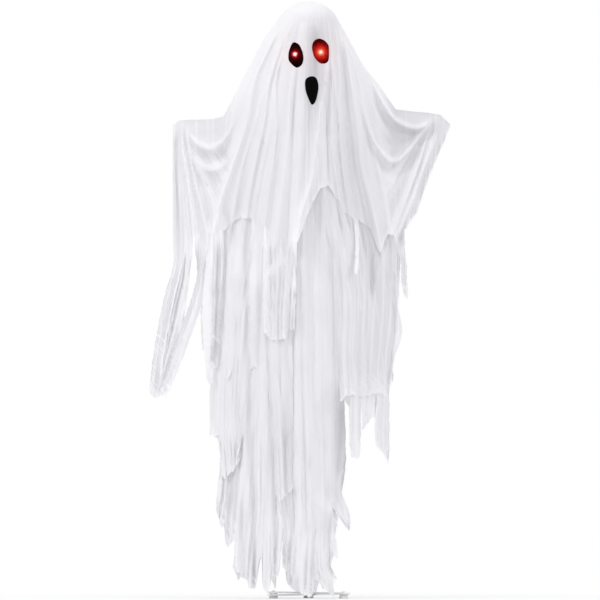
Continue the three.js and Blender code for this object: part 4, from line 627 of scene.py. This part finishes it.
class Cloth:
    """Grids of points (x, y, z, painted light: painted highlight above 0, painted shade below), collected
    into one mesh. Points that coincide are welded.
    """

    def __init__(self):
        self.points = []
        self.faces = []
        self.groups = []
        self.count = 0

    def add(self, grid, group=0, flip=False):
        rows, columns = grid.shape[:2]
        index = np.arange(rows * columns).reshape(rows, columns) + self.count
        quads = np.stack([index[:-1, :-1], index[1:, :-1], index[1:, 1:], index[:-1, 1:]], -1).reshape(-1, 4)
        self.faces.append(quads[:, ::-1] if flip else quads)
        self.groups.append(np.full(len(quads), group))
        self.points.append(grid.reshape(-1, 4))
        self.count += rows * columns

    def welded(self):
        """Points, faces, groups and point normals, with coinciding points made one."""
        points = np.concatenate(self.points)
        faces = np.concatenate(self.faces)
        places = np.round(points[:, :3], 2)
        _, first, inverse = np.unique(places, axis=0, return_index=True, return_inverse=True)
        points, faces = points[first], inverse.reshape(-1)[faces]
        place = points[:, :3]
        corners = place[faces]
        face_normals = np.cross(corners[:, 2] - corners[:, 0], corners[:, 3] - corners[:, 1])
        normals = np.zeros_like(place)
        for corner in range(4):
            np.add.at(normals, faces[:, corner], face_normals)
        normals /= np.maximum(np.linalg.norm(normals, axis=1, keepdims=True), 1e-9)
        return points, faces, np.concatenate(self.groups), normals


def mesh_object(name, points, faces, normals=None, across=None):
    """A smooth mesh of points in millimetres, with a UV map in metres: across the cloth or view, and up."""
    mesh = bpy.data.meshes.new(name)
    clean = [tuple(dict.fromkeys(face)) for face in faces.tolist()]
    mesh.from_pydata((points[:, :3] * MM).tolist(), [], [face for face in clean if len(face) > 2])
    # The points' painted light, painted highlight above 0 and painted shade below, kept for the gauze's
    # colour
    painted_light = mesh.attributes.new("painted_light", "FLOAT", "POINT")
    painted_light.data.foreach_set("value", points[:, 3].astype(np.float32))
    mesh.polygons.foreach_set("use_smooth", [True] * len(mesh.polygons))
    uv = mesh.uv_layers.new(name="cloth")
    loops = np.zeros(len(mesh.loops), int)
    mesh.loops.foreach_get("vertex_index", loops)
    flat = points[:, [0, 2]].copy()
    if across is not None:
        flat[:, 0] = across(points[:, 0], points[:, 2])
    uv.data.foreach_set("uv", (flat[loops] * MM).astype(np.float32).ravel())
    if normals is not None:
        mesh.normals_split_custom_set_from_vertices(normals.tolist())
    piece = bpy.data.objects.new(name, mesh)
    bpy.context.scene.collection.objects.link(piece)
    return piece


def welded_object(name, grids, flip=False):
    """One mesh of grids, welded where they meet."""
    cloth = Cloth()
    for grid in grids:
        cloth.add(grid, flip=flip)
    points, faces, _, _ = cloth.welded()
    return mesh_object(name, points, faces)


def sheet_surface(x, z, front):
    """y of the sheet's face at a place in the front or back view, and its painted light and shade."""
    height, painted_light = relief(x, z, front)
    depth = sheet_depth(x, z) + height
    return middle_plane(x) + (-depth if front else depth), painted_light


def sheet_columns(strips):
    """x of the sheet's columns: one on each strip's edge and each seam, and the others evenly between."""
    marks = sorted({*SHEET_MARKS} | {float(edge) for strip in strips for edge in strip[:2]})
    runs = []
    for a, b in zip(marks, marks[1:]):
        runs.append(np.linspace(a, b, max(1, round((b - a) / COLUMN_PITCH)) + 1)[:-1])
    return np.append(np.concatenate(runs), marks[-1])


def within(columns, left, right):
    return (columns >= left - 0.01) & (columns <= right + 0.01)


def sheet_face(columns, strips, front):
    """Rows of points from the ridge down to the hem line."""
    hem_line, seed = (FRONT_HEM, 41) if front else (BACK_HEM, 47)
    held = [(columns > strip[0] + 1) & (columns < strip[1] - 1) for strip in strips]
    loose = ~np.any(held, axis=0)
    hem = along(hem_line, columns) + torn(columns, seed, TORN_DEPTH)
    share = (np.arange(SHEET_ROWS + 1) / SHEET_ROWS)[:, None] ** ROW_CROWDING
    top = ridge_height(columns)[None, :]
    z = top - (top - hem[None, :]) * share
    x = np.broadcast_to(columns, z.shape)
    y, painted_light = sheet_surface(x, z, front)
    curl = HEM_CURL * (0.4 + 0.6 * ripple(x, seed + 5, 30, 90, 4)) * near_edge(z - hem, 8) * loose
    y = y + (-curl if front else curl) * smooth(np.abs(top - z) / 100)
    y[0] = middle_plane(columns)
    # A painted highlight along the loose hem
    return np.stack([x, y, z, whitened(painted_light, edge_highlight(x, z, hem) * loose)], -1)


def strip_places(top, route, lower_edge, seed):
    """Below the hem: x, z, height of the torn end, place across the flat strip, share of the way down."""
    wide = top[-1, 0] - top[0, 0]
    across = ((top[:, 0] - top[0, 0]) / wide)[None, :]
    flat = across * wide
    bottom = route[-1][2] + along(lower_edge, across) + torn(flat + seed * 31, seed, STRIP_TORN)
    rows = max(8, int((top.mean(0)[2] - route[-1][2]) / STRIP_ROW))
    share = (np.arange(1, rows + 1) / rows)[:, None]
    z = top[None, :, 2] + (bottom - top[None, :, 2]) * share
    left, right = edge_at(route, z, 0), edge_at(route, z, 1)
    rim_left = np.exp(-flat / 4) * ripple(z, seed + 3, 14, 80)
    rim_right = np.exp(-(1 - across) * wide / 4) * ripple(z, seed + 5, 14, 80)
    settle = smooth(share / SETTLE)
    x = left + (right - left) * across + (rim_left + rim_right) * settle
    return top[None, :, 0] + (x - top[None, :, 0]) * settle, z, bottom, flat, share


def over_gown(x, z, front):
    """Depth of a strip that lies on the gown."""
    return np.maximum(sheet_depth(x, z), gown_depth(x, z, front) + STRIP_PROUD)


def strip_grid(top, strip, front, seed):
    """Rows of points that carry part of the hem on down a torn strip."""
    centre = top.mean(0)
    wide = top[-1, 0] - top[0, 0]
    on_gown = abs(centre[0]) < SEAM_X
    route = [(top[0, 0], top[-1, 0], top[:, 2].mean(), 0.0)] + strip[2]
    x, z, bottom, flat, share = strip_places(top, route, strip[3], seed)
    settle = smooth(share / SETTLE)
    pleats = creases(flat + 3 * ripple(z, seed + 9, 300, 900, 3), seed + 6, 20, 60)
    roll = 0.16 * wide * (2 * flat / wide - 1) ** 2 * np.sin(z / 95 + seed)
    wrinkles = creases(z + 0.9 * x, seed + 4, 14, 40) * smooth(share, 0.45, 0.65)
    ends = crumpled(x, z, bottom, seed + 12)
    folds = STRIP_PLEATS * pleats + np.clip(roll, -5, 5) + 1.8 * wrinkles + END_HEIGHT * ends
    depth = edge_at(route, z, 3) + folds * settle
    if on_gown:
        lie = over_gown(x, z, front) - over_gown(centre[0], centre[2], front)
        depth = depth + np.maximum(lie, -4) * settle
    y = top[None, :, 1] * (1 - settle) + centre[1] * settle + (-depth if front else depth)
    twisted = smooth((24 - wide) / 10)
    # Painted light on a strip: shade in stripes across it and over strips off the gown, highlights on pleat
    # crests, crumples, narrow strips and the torn end
    painted_stripe_shade = (0.2 if on_gown else 0.6) * creases(flat, seed + 14, 12, 40) ** 2
    tone_and_shade = 0.0 if on_gown else STRIP_SHADE * (1 - twisted)
    crumple_highlight = np.maximum(0.5 * wrinkles**2, 0.9 * np.maximum(twisted, ends))
    own = np.maximum(0.4 * pleats**2, crumple_highlight) - painted_stripe_shade - tone_and_shade
    painted_light = whitened(top[None, :, 3] * (1 - settle) + own * settle, edge_highlight(x, z, bottom))
    return np.concatenate([top[None], np.stack([x, y, z, np.clip(painted_light, -1, 1)], -1)])


def build_sheet():
    """The whole sheet as one cloth, with its middle as group 0 and the parts over the arms as 1 and 2."""
    cloth = Cloth()
    runs = list(zip(SHEET_MARKS, SHEET_MARKS[1:]))
    for front, strips in ((True, FRONT_STRIPS), (False, BACK_STRIPS)):
        columns = sheet_columns(strips)
        face = sheet_face(columns, strips, front)
        for group, (left, right) in zip((1, 0, 2), runs):
            cloth.add(face[:, within(columns, left, right)], group, flip=not front)
        for number, strip in enumerate(strips):
            middle = (strip[0] + strip[1]) / 2
            group = 0 if abs(middle) < SEAM_X else (1 if middle < 0 else 2)
            top = face[-1, within(columns, strip[0], strip[1])]
            cloth.add(strip_grid(top, strip, front, number + (100 if front else 150)), group, flip=not front)
    return cloth


def split_sheet(cloth, names):
    """The cloth's groups as objects, with the normals of the whole so that no seam shows."""
    points, faces, groups, normals = cloth.welded()
    made = []
    for group, name in enumerate(names):
        own = faces[groups == group]
        used, index = np.unique(own, return_inverse=True)
        made.append(mesh_object(name, points[used], index.reshape(own.shape), normals[used], cloth_across))
    return made


# The gown


def roundness(x, z, left_line, right_line):
    """From 0 at the sides to 1 in the middle of a rounded column between two lines."""
    left, right = along(left_line, z), along(right_line, z)
    across = np.clip(SIDE_CLOSE * (2 * (x - left) / (right - left) - 1), -1, 1)
    return np.sqrt(1 - np.abs(across) ** 2.3)


def gown_depth(x, z, front):
    """How far the gown stands out from the middle plane: a column that stays inside the sheet above it."""
    most = GOWN_DEPTH_TOP + GOWN_SPREAD * smooth((GOWN_TOP - z) / 900) + GOWN_HEM_SPREAD * smooth(z, 300, 0)
    hem_line = FRONT_HEM if front else BACK_HEM
    hem = np.minimum(along(hem_line, x - 30), along(hem_line, x + 30))
    clear = smooth((hem - 10 - z) / 200) * 60
    folds = relief(x, z, front)[0] * (1 - smooth((hem - z) / 160))
    room = sheet_depth(x, z) + folds - GOWN_INSET + clear
    return np.minimum(roundness(x, z, GOWN_LEFT, GOWN_RIGHT) * most, room) + GOWN_GAP / 2


def under_sheet(x, z, front):
    """The most depth that stays behind the sheet's folds, as far down as the sheet reaches."""
    hem = along(FRONT_HEM if front else BACK_HEM, x)
    return sheet_depth(x, z) + relief(x, z, front)[0] - SHEET_CLEAR + 300 * smooth((hem - 4 - z) / 90)


def inner_depth(x, z, depth):
    """The inner layer's depth: behind the outer one, and lower down a narrower column of its own."""
    column = COLUMN_DEPTH * roundness(x, z, COLUMN_LEFT, COLUMN_RIGHT) + COLUMN_FREE * smooth(z, 330, 130)
    return np.minimum(depth - INNER_SETBACK * smooth(z, 330, 590), column)


def panel_places(panel, seed):
    """On a panel: x, z, height of the torn end, place across the flat panel, and how near a side it is."""
    _, left, right, lower_edge = panel
    heights = np.linspace(lower_edge[0][1], GOWN_TOP, 12)
    widest = np.max(edge_at(right, heights) - edge_at(left, heights))
    across = np.linspace(0, 1, max(5, round(widest / PANEL_COLUMN)) + 1)[None, :]
    flat = across * widest
    bottom = along(lower_edge, across) + torn(flat + seed * 53, seed, TORN_DEPTH)
    rows = int((GOWN_TOP - bottom.min()) / PANEL_ROW)
    share = 1 - (1 - np.linspace(0, 1, rows + 1)[:, None]) ** 1.6
    z = GOWN_TOP + (bottom - GOWN_TOP) * share
    x_left, x_right = edge_at(left, z), edge_at(right, z)
    x = x_left + (x_right - x_left) * across
    rim_left, rim_right = np.exp(-(x - x_left) / RIM), np.exp(-(x_right - x) / RIM)
    x = x + ripple(z, seed + 2, 20, 130) * rim_left + ripple(z, seed + 3, 20, 130) * rim_right
    return x, z, bottom, flat, rim_left + rim_right


def panel_grid(panel, front, seed, is_inner):
    """Rows of points of one torn panel, from the gown's top to its ragged end."""
    layer = panel[0]
    x, z, bottom, flat, rims = panel_places(panel, seed)
    flat = flat + 4 * ripple(z, seed + 4, 600, 1800, 3)
    low = smooth(z, 700, 400)
    crests = creases(flat, seed + 6, 26, 70)
    pleats = PLEAT_WAVE * ripple(x + 0.03 * z, GOWN_PLEATS, 34, 90, 4) + PLEAT_CREST * crests
    sway = SWAY * ripple(z + 0.3 * x, seed + 7, 120, 420, 4) - RIM_LEAN * rims
    hem_curl = (3 + 4 * ripple(x, seed + 8, 24, 70, 3)) * near_edge(z - bottom, 10)
    ends = crumpled(x, z, bottom, seed + 12)
    depth = gown_depth(x, z, front)
    if is_inner:
        depth = inner_depth(x, z, depth)
    folds = layer * LAYER_STEP + pleats * (1 + 0.7 * low) + sway + hem_curl + END_HEIGHT * ends
    depth = np.minimum(depth + folds * smooth((GOWN_TOP - z) / 300), under_sheet(x, z, front))
    plane = middle_plane(x) * (1 - 0.7 * smooth(z, 1000, 600))
    # Painted shade on layers further back, towards the bottom, on the right and at the tips; painted
    # highlight on pleat crests, crumpled ends and torn edges
    tips = smooth((TIP_SHADE - z) / 160) * (0.25 + 0.6 * ripple(flat, seed + 9, 20, 70, 3))
    shade = np.minimum(layer, 0) / 14 - 0.08 * low - 0.3 * smooth(x, 60, 120) - tips
    painted_light = whitened(0.6 * crests**2 + shade, np.maximum(ends, edge_highlight(x, z, bottom)))
    return np.stack([x, plane + (-depth if front else depth), z, np.clip(painted_light, -1, 1)], -1)


def strap_grid(x):
    """A strap from the gown's upper edge in front, over the shoulder bar, to its back."""
    low = GOWN_TOP - 16
    front = middle_plane(x) - gown_depth(x, low, True)
    back = middle_plane(x) + gown_depth(x, low, False)
    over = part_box("shoulder_bar")[1].z / MM + 2.2
    over_bar = [(-22, over - 12), (-9, over - 2), (0, over), (9, over - 2), (22, over - 12)]
    route = [(front, low), (front + 8, GOWN_TOP + 14)]
    route += [(SHOULDER_BACK + y, z) for y, z in over_bar]
    route = np.array(route + [(back - 6, GOWN_TOP + 12), (back, low)])
    step = np.linspace(0, len(route) - 1, 49)
    y, z = (np.interp(step, np.arange(len(route)), route[:, k])[:, None] for k in (0, 1))
    half = np.linspace(-0.5, 0.5, 6)[None, :]
    width = STRAP_WIDTH * (0.8 + 0.2 * np.cos(step / 8 * math.pi * 2))[:, None]
    xs = x + half * width
    return np.stack([xs, y + 0 * xs, z + 1.1 * np.cos(half * 4 * math.pi), 0 * xs], -1)


# The face


def closed_curve(points, steps):
    """A smooth closed outline through points."""
    p = np.array(points, float)
    t = (np.arange(steps) / steps)[:, None]
    out = []
    for i in range(len(p)):
        a, b, c, d = (p[(i + k) % len(p)] for k in (-1, 0, 1, 2))
        square, cube = 2 * a - 5 * b + 4 * c - d, 3 * b - a - 3 * c + d
        out.append(0.5 * (2 * b + (c - a) * t + square * t**2 + cube * t**3))
    return np.concatenate(out)


def face_patch(name, outline):
    """A felt or mesh shape that lies on the front of the sheet, with a turned edge."""
    rim = closed_curve(outline, 5)
    centre = rim.mean(0)
    rows = []
    for ring, lift in PATCH_RINGS:
        flat = centre + (rim - centre) * ring
        y = sheet_surface(flat[:, 0], flat[:, 1], True)[0] - PATCH_PROUD * lift
        rows.append(np.column_stack([flat[:, 0], y, flat[:, 1], 0 * y]))
    grid = np.array(rows)
    return welded_object(name, [np.concatenate([grid, grid[:, :1]], 1)], flip=True)


# Materials


class Nodes:
    """A short way to add shader nodes to a new material or world, and to link them."""

    def __init__(self, name, kind="Material"):
        self.owner = (bpy.data.worlds if kind == "World" else bpy.data.materials).new(name)
        self.owner.use_nodes = True
        self.tree = self.owner.node_tree
        self.tree.nodes.clear()
        self.output = self.tree.nodes.new("ShaderNodeOutput" + kind)

    def add(self, kind, values=None, **settings):
        node = self.tree.nodes.new("ShaderNode" + kind)
        for key, value in settings.items():
            setattr(node, key, value)
        for key, value in (values or {}).items():
            if isinstance(value, bpy.types.NodeSocket):
                self.tree.links.new(value, node.inputs[key])
            else:
                node.inputs[key].default_value = value
        return node

    def out(self, kind, values=None, socket=0, **settings):
        return self.add(kind, values, **settings).outputs[socket]

    def finish(self, shader):
        self.tree.links.new(shader, self.output.inputs["Surface"])
        return self.owner

    def place(self):
        return self.out("TexCoord", socket="Object")

    def on_cloth(self):
        return self.out("UVMap", uv_map="cloth")

    def math(self, operation, *values):
        return self.out("Math", dict(enumerate(values)), operation=operation)

    def mapped(self, value, low=0.0, high=1.0, to_low=0.0, to_high=1.0):
        values = {"Value": value, "From Min": low, "From Max": high, "To Min": to_low, "To Max": to_high}
        return self.out("MapRange", values)

    def ramp(self, factor, stops):
        node = self.add("ValToRGB", {"Fac": factor})
        ramp = node.color_ramp
        while len(ramp.elements) < len(stops):
            ramp.elements.new(0.5)
        for element, (position, colour) in zip(ramp.elements, stops):
            element.position = position
            element.color = (*colour, 1)
        return node.outputs["Color"]

    def noise(self, place, scale, detail=3.0, rough=0.55):
        values = {"Vector": place, "Scale": scale, "Detail": detail, "Roughness": rough}
        return self.out("TexNoise", values, "Fac")

    def wave(self, place, scale, distortion, detail, way):
        values = {"Vector": place, "Scale": scale, "Distortion": distortion, "Detail": detail}
        return self.out("TexWave", values, "Fac", bands_direction=way)

    def stretched(self, place, factors):
        return self.out("VectorMath", {0: place, 1: factors}, operation="MULTIPLY")

    def mixed(self, factor, a, b):
        a, b = (c if isinstance(c, bpy.types.NodeSocket) else (*c, 1) for c in (a, b))
        return self.out("Mix", {"Factor": factor, 6: a, 7: b}, 2, data_type="RGBA")

    def bump(self, height, strength, distance, normal=None):
        under = {} if normal is None else {"Normal": normal}
        return self.out("Bump", {"Height": height, "Strength": strength, "Distance": distance, **under})

    def surface(self, colour, rough, normal, more):
        """A shader with this colour, roughness and normal, and what else it sets."""
        colour = colour if isinstance(colour, bpy.types.NodeSocket) else (*colour, 1)
        values = {"Base Color": colour, "Roughness": rough, **more}
        if normal is not None:
            values["Normal"] = normal
        return self.out("BsdfPrincipled", values)


def gauze(name, tone_and_shade, crinkle):
    """White gauze, woven and crinkled, coloured with the painted shade and painted highlights that the mesh
    carries.
    """
    n = Nodes(name)
    place = n.on_cloth()
    long_crinkle = n.noise(n.stretched(place, (1, 0.03, 1)), 130, 4, 0.6)
    short_crinkle = n.noise(n.stretched(place, (1, 0.3, 1)), 300, 4, 0.6)
    streaks = n.noise(n.stretched(place, (1, 0.02, 1)), 75, 3, 0.6)
    warp, weft = (n.wave(place, 330, 1.2, 1, way) for way in "XY")
    painted_light = n.out("Attribute", socket="Fac", attribute_name="painted_light")
    # Random tone, plus the painted shade and painted highlight from the mesh's attribute, plus random streaks
    share = n.math("MULTIPLY_ADD", n.noise(place, 7, 3), 0.16, painted_light)
    share = n.math("ADD", share, n.mapped(streaks, 0.52, 0.74, 0.0, 0.3))
    tint = n.ramp(n.mapped(share, -1.0), [(0.0, PAINTED_SHADE_GAUZE), (0.5, tone_and_shade), (1.0, PAINTED_HIGHLIGHT_GAUZE)])
    normal = n.bump(long_crinkle, 0.4, 0.0012 * crinkle)
    normal = n.bump(short_crinkle, 0.2, 0.0006 * crinkle, normal)
    normal = n.bump(n.math("MULTIPLY", warp, weft), 0.25, 0.00018, normal)
    face = n.surface(tint, 0.88, normal, {"Sheen Weight": 0.12, "Specular IOR Level": 0.2})
    through = n.out("BsdfTranslucent", {"Color": tint, "Normal": normal})
    return n.finish(n.out("MixShader", {0: 0.36, 1: face, 2: through}))


def lit_mesh(name, lamp, reach, stops):
    """Black mesh with a red lamp shining through it."""
    n = Nodes(name)
    place = n.on_cloth()
    centre = (lamp[0] * MM, lamp[1] * MM, 0)
    away = n.out("VectorMath", {0: place, 1: centre}, "Value", operation="DISTANCE")
    share = n.math("DIVIDE", away, reach * MM)
    share = n.math("MULTIPLY", share, n.mapped(n.noise(place, 120, 3), 0.0, 1.0, 0.66, 1.34))
    holes = n.out("TexVoronoi", {"Vector": place, "Scale": 900}, "Distance")
    open_share = n.mapped(holes, 0.15, 0.6, 1.0, 0.62)
    light = n.out("VectorMath", {0: n.ramp(share, stops), "Scale": open_share}, operation="SCALE")
    lit = {"Emission Color": light, "Emission Strength": 1.35, "Specular IOR Level": 0.015}
    return n.finish(n.surface((0.0012, 0.001, 0.001), 0.9, n.bump(holes, 0.5, 0.0004), lit))


def felt(name, colour):
    n = Nodes(name)
    place = n.on_cloth()
    tint = n.mixed(n.noise(place, 160, 3), colour, [c * 2.2 for c in colour])
    normal = n.bump(n.noise(place, 900, 6, 0.7), 0.7, 0.0006)
    return n.finish(n.surface(tint, 0.97, normal, {"Sheen Weight": 0.01, "Specular IOR Level": 0.03}))


def grained(name, colour, rough, metal=0.0, scale=300, depth=0.0003, stretch=(1, 1, 1), vary=0.15, coat=0.0):
    """Moulded plastic, paint, rubber or metal: a colour that varies, grain in the bump and in the gloss."""
    n = Nodes(name)
    place = n.stretched(n.place(), stretch)
    cloudy = n.noise(place, scale / 14, 4)
    tint = n.mixed(cloudy, [c * (1 - vary) for c in colour], [min(1, c * (1 + vary * 0.6)) for c in colour])
    gloss = n.mapped(cloudy, 0.0, 1.0, rough * 0.85, min(1, rough * 1.18))
    normal = n.bump(n.noise(place, scale, 6, 0.6), 0.5, depth)
    return n.finish(n.surface(tint, gloss, normal, {"Metallic": metal, "Coat Weight": coat}))


def board_material(name):
    """Green solder mask over copper tracks, with tinned pads."""
    n = Nodes(name)
    place = n.place()
    cells = n.out("TexVoronoi", {"Vector": place, "Scale": 420}, "Distance", distance="CHEBYCHEV")
    pads = n.mapped(cells, 0.14, 0.18, 1.0, 0.0)
    tracks = n.wave(place, 190, 7, 0, "DIAGONAL")
    dark, pale = (0.012, 0.10, 0.035), (0.03, 0.2, 0.07)
    track = n.ramp(tracks, [(0.0, dark), (0.48, dark), (0.55, pale), (1.0, pale)])
    tint = n.mixed(pads, track, (0.62, 0.62, 0.6))
    return n.finish(n.surface(tint, 0.32, n.bump(tracks, 0.3, 0.0001), {"Metallic": pads}))


def cell_material(name, low, high):
    """A cell's printed sleeve: dark, with a plain copper band at the top."""
    n = Nodes(name)
    place = n.place()
    share = n.mapped(n.out("SeparateXYZ", {0: place}, "Z"), low, high)
    dark, copper, steel = (0.03, 0.032, 0.036), (0.62, 0.3, 0.12), (0.7, 0.7, 0.7)
    stops = [(0.0, steel), (0.03, dark), (0.66, dark), (0.68, copper), (0.95, copper), (0.97, steel)]
    normal = n.bump(n.noise(n.stretched(place, (1, 1, 0.1)), 900, 4), 0.3, 0.0001)
    return n.finish(n.surface(n.ramp(share, stops), 0.34, normal, {"Metallic": 0.7}))


def lamp_material(name):
    """Clear red lamp, lit from inside."""
    n = Nodes(name)
    glow = n.mixed(n.noise(n.place(), 260, 3), (1.0, 0.03, 0.02), (1.0, 0.2, 0.12))
    lit = {"Emission Color": glow, "Emission Strength": 1.6}
    return n.finish(n.surface((0.75, 0.03, 0.02), 0.18, None, lit))


def hard_materials():
    """One material for each of the record's slots that a carried-over node takes."""
    cell_low, cell_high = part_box("battery_1")
    return {
        "powder_coat": grained("white_powder_coat", (0.82, 0.82, 0.81), 0.42, scale=900, vary=0.03, coat=0.1),
        "bright_steel": grained("zinc_steel", (0.56, 0.57, 0.58), 0.33, 1.0, 500, 0.00012, (1, 1, 0.15), 0.1),
        "foot_rubber": grained("pale_rubber", (0.74, 0.74, 0.73), 0.85, scale=700, vary=0.08),
        "black_plastic": grained("black_moulding", (0.03, 0.03, 0.034), 0.5, 0, 1500, 0.0004, vary=0.2),
        "white_plastic": grained("white_moulding", (0.8, 0.79, 0.76), 0.48, 0, 700, 0.0002, vary=0.04),
        "gear_nylon": grained("natural_nylon", (0.84, 0.81, 0.72), 0.4, 0, 500, 0.0001, vary=0.05),
        "motor_case": grained("plated_case", (0.6, 0.6, 0.61), 0.3, 1.0, 400, 0.0001, (0.2, 0.2, 1), 0.1),
        "circuit_green": board_material("circuit_board_green"),
        "cell_can": cell_material("cell_sleeve", cell_low.z, cell_high.z),
        "smoked_lens": grained("smoked_lens", (0.05, 0.01, 0.012), 0.08, 0, 200, 0.00002, vary=0.1, coat=1),
        "red_button": grained("red_button", (0.5, 0.02, 0.02), 0.25, 0, 600, 0.00005, vary=0.08, coat=0.5),
        "red_lamp": lamp_material("red_lamp_lit"),
        "wire_cover": grained("wire_cover", (0.03, 0.03, 0.03), 0.6, 0, 900, 0.0001, vary=0.2),
    }


def paint_frame():
    """Gives each carried-over node the material of its slot in the record."""
    materials = hard_materials()
    for part in frame["record"]["subparts"]:
        slot = part["material_slot"]
        if slot in materials:
            mesh = frame["nodes"][part["node"]].data
            mesh.materials.clear()
            mesh.materials.append(materials[slot])


def dress(piece, material):
    piece.data.materials.append(material)
    return piece


# Floor, light and camera


def make_floor():
    """A pale floor that the camera sees as white, with the object's soft shadow close to it."""
    n = Nodes("floor_white")
    away = n.out("VectorMath", {0: n.place()}, "Value", operation="LENGTH")
    near = n.mapped(away, *SHADOW_FADE, SHADOW_SHARE, 0.0)
    white = n.out("Emission", {"Color": WHITE, "Strength": 1.0})
    matt = n.out("BsdfDiffuse", {"Color": FLOOR_GREY})
    seen = n.out("MixShader", {0: near, 1: white, 2: matt})
    to_camera = n.out("LightPath", socket="Is Camera Ray")
    shown = n.out("MixShader", {0: to_camera, 1: matt, 2: seen})
    bpy.ops.mesh.primitive_plane_add(size=40, location=(0, 0, -0.0005))
    floor = bpy.context.object
    floor.name = "floor"
    floor.data.materials.append(n.finish(shown))


def make_world():
    """White to the camera, and for the light a soft sky that is brighter above than below."""
    n = Nodes("studio", "World")
    up = n.out("SeparateXYZ", {0: n.out("TexCoord", socket="Generated")}, "Z")
    soft = n.out("Background", {"Color": SKY, "Strength": n.mapped(up, -1.0, 1.0, *SKY_LEVELS)})
    white = n.out("Background", {"Color": WHITE, "Strength": 1.0})
    to_camera = n.out("LightPath", socket="Is Camera Ray")
    bpy.context.scene.world = n.finish(n.out("MixShader", {0: to_camera, 1: soft, 2: white}))


def make_lamp(name, place, size, power):
    """A round lamp that shines at the middle of the figure."""
    data = bpy.data.lights.new(name, "AREA")
    data.shape = "DISK"
    data.size = size
    data.energy = power
    lamp = bpy.data.objects.new(name, data)
    lamp.location = place
    aim = np.array(LIT_PLACE) - np.array(place)
    lamp.rotation_euler = (math.atan2(math.hypot(aim[0], aim[1]), -aim[2]), 0, math.atan2(-aim[0], aim[1]))
    bpy.context.scene.collection.objects.link(lamp)


def make_camera():
    data = bpy.data.cameras.new("camera")
    data.sensor_width = SENSOR
    data.lens = SENSOR * CAMERA_DISTANCE / FRAME_HEIGHT
    camera = bpy.data.objects.new("camera", data)
    camera.location = (CAMERA_X, -CAMERA_DISTANCE, CAMERA_Z)
    camera.rotation_euler = (math.pi / 2, 0, 0)
    bpy.context.scene.collection.objects.link(camera)
    bpy.context.scene.camera = camera


# Pieces' transforms baked into their meshes


def follow_head(piece):
    """Bakes the piece's transform into its mesh and reads its points."""
    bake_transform(piece)
    co = np.zeros(len(piece.data.vertices) * 3, np.float32)
    piece.data.vertices.foreach_get("co", co)


def follow_arm(piece):
    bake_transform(piece)


# Build


def hang_sheet():
    """The sheet over the head and both arms."""
    body, left, right = split_sheet(build_sheet(), ["sheet_body", "sheet_left", "sheet_right"])
    material = gauze("sheet_gauze", THIN_GAUZE, 1.0)
    for piece in (body, left, right):
        dress(piece, material)
    follow_head(body)
    follow_arm(left)
    follow_arm(right)
    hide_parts("hood", "cape")
    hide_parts("sleeve_left")
    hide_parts("sleeve_right")
    return body


def hang_gown():
    """The gown's four layers of torn panels, and the straps that carry them."""
    material = gauze("gown_gauze", THIN_GOWN, 1.3)
    for name, panels, is_front, seed, nodes, flat, area in GOWN_PIECES:
        grids = [panel_grid(panel, is_front, seed + 13 * i, not nodes) for i, panel in enumerate(panels)]
        piece = dress(welded_object(name, grids, flip=not is_front), material)
        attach(piece, "stand")
        if nodes:
            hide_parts(*nodes)
    straps = welded_object("gown_straps", [strap_grid(x) for x in (-STRAP_X, STRAP_X)])
    strap_piece = dress(straps, material)
    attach(strap_piece, "stand")


def sew_face():
    """Two lit eyes and a mouth, which lie on the sheet."""
    dim = lit_mesh("eye_mesh_dim", LAMP_LEFT, 38, RED_SMALL)
    bright = lit_mesh("eye_mesh_bright", LAMP_RIGHT, 40, RED_WIDE)
    black = felt("black_felt", (0.0016, 0.0016, 0.0016))
    face = [
        ("eye_mesh_left", EYE_LEFT, dim, "eye_mesh", "eye_patch_left"),
        ("eye_mesh_right", EYE_RIGHT, bright, "eye_mesh", "eye_patch_right"),
        ("mouth_felt", MOUTH, black, "mouth_felt", "mouth_patch"),
    ]
    for name, outline, material, slot, node in face:
        patch = dress(face_patch(name, outline), material)
        follow_head(patch)
        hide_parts(node)


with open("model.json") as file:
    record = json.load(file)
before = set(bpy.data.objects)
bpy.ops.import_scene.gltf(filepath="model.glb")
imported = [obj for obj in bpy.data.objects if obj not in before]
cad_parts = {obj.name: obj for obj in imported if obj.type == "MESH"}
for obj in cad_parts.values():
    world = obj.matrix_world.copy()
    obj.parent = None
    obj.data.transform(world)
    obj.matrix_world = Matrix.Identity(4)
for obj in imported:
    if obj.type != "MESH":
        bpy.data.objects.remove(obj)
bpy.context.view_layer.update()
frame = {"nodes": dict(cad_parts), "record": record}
bpy.context.scene.view_settings.view_transform = "Standard"
make_camera()
make_world()
for lamp in LAMPS:
    make_lamp(*lamp)
make_floor()
paint_frame()
body = hang_sheet()
hang_gown()
sew_face()
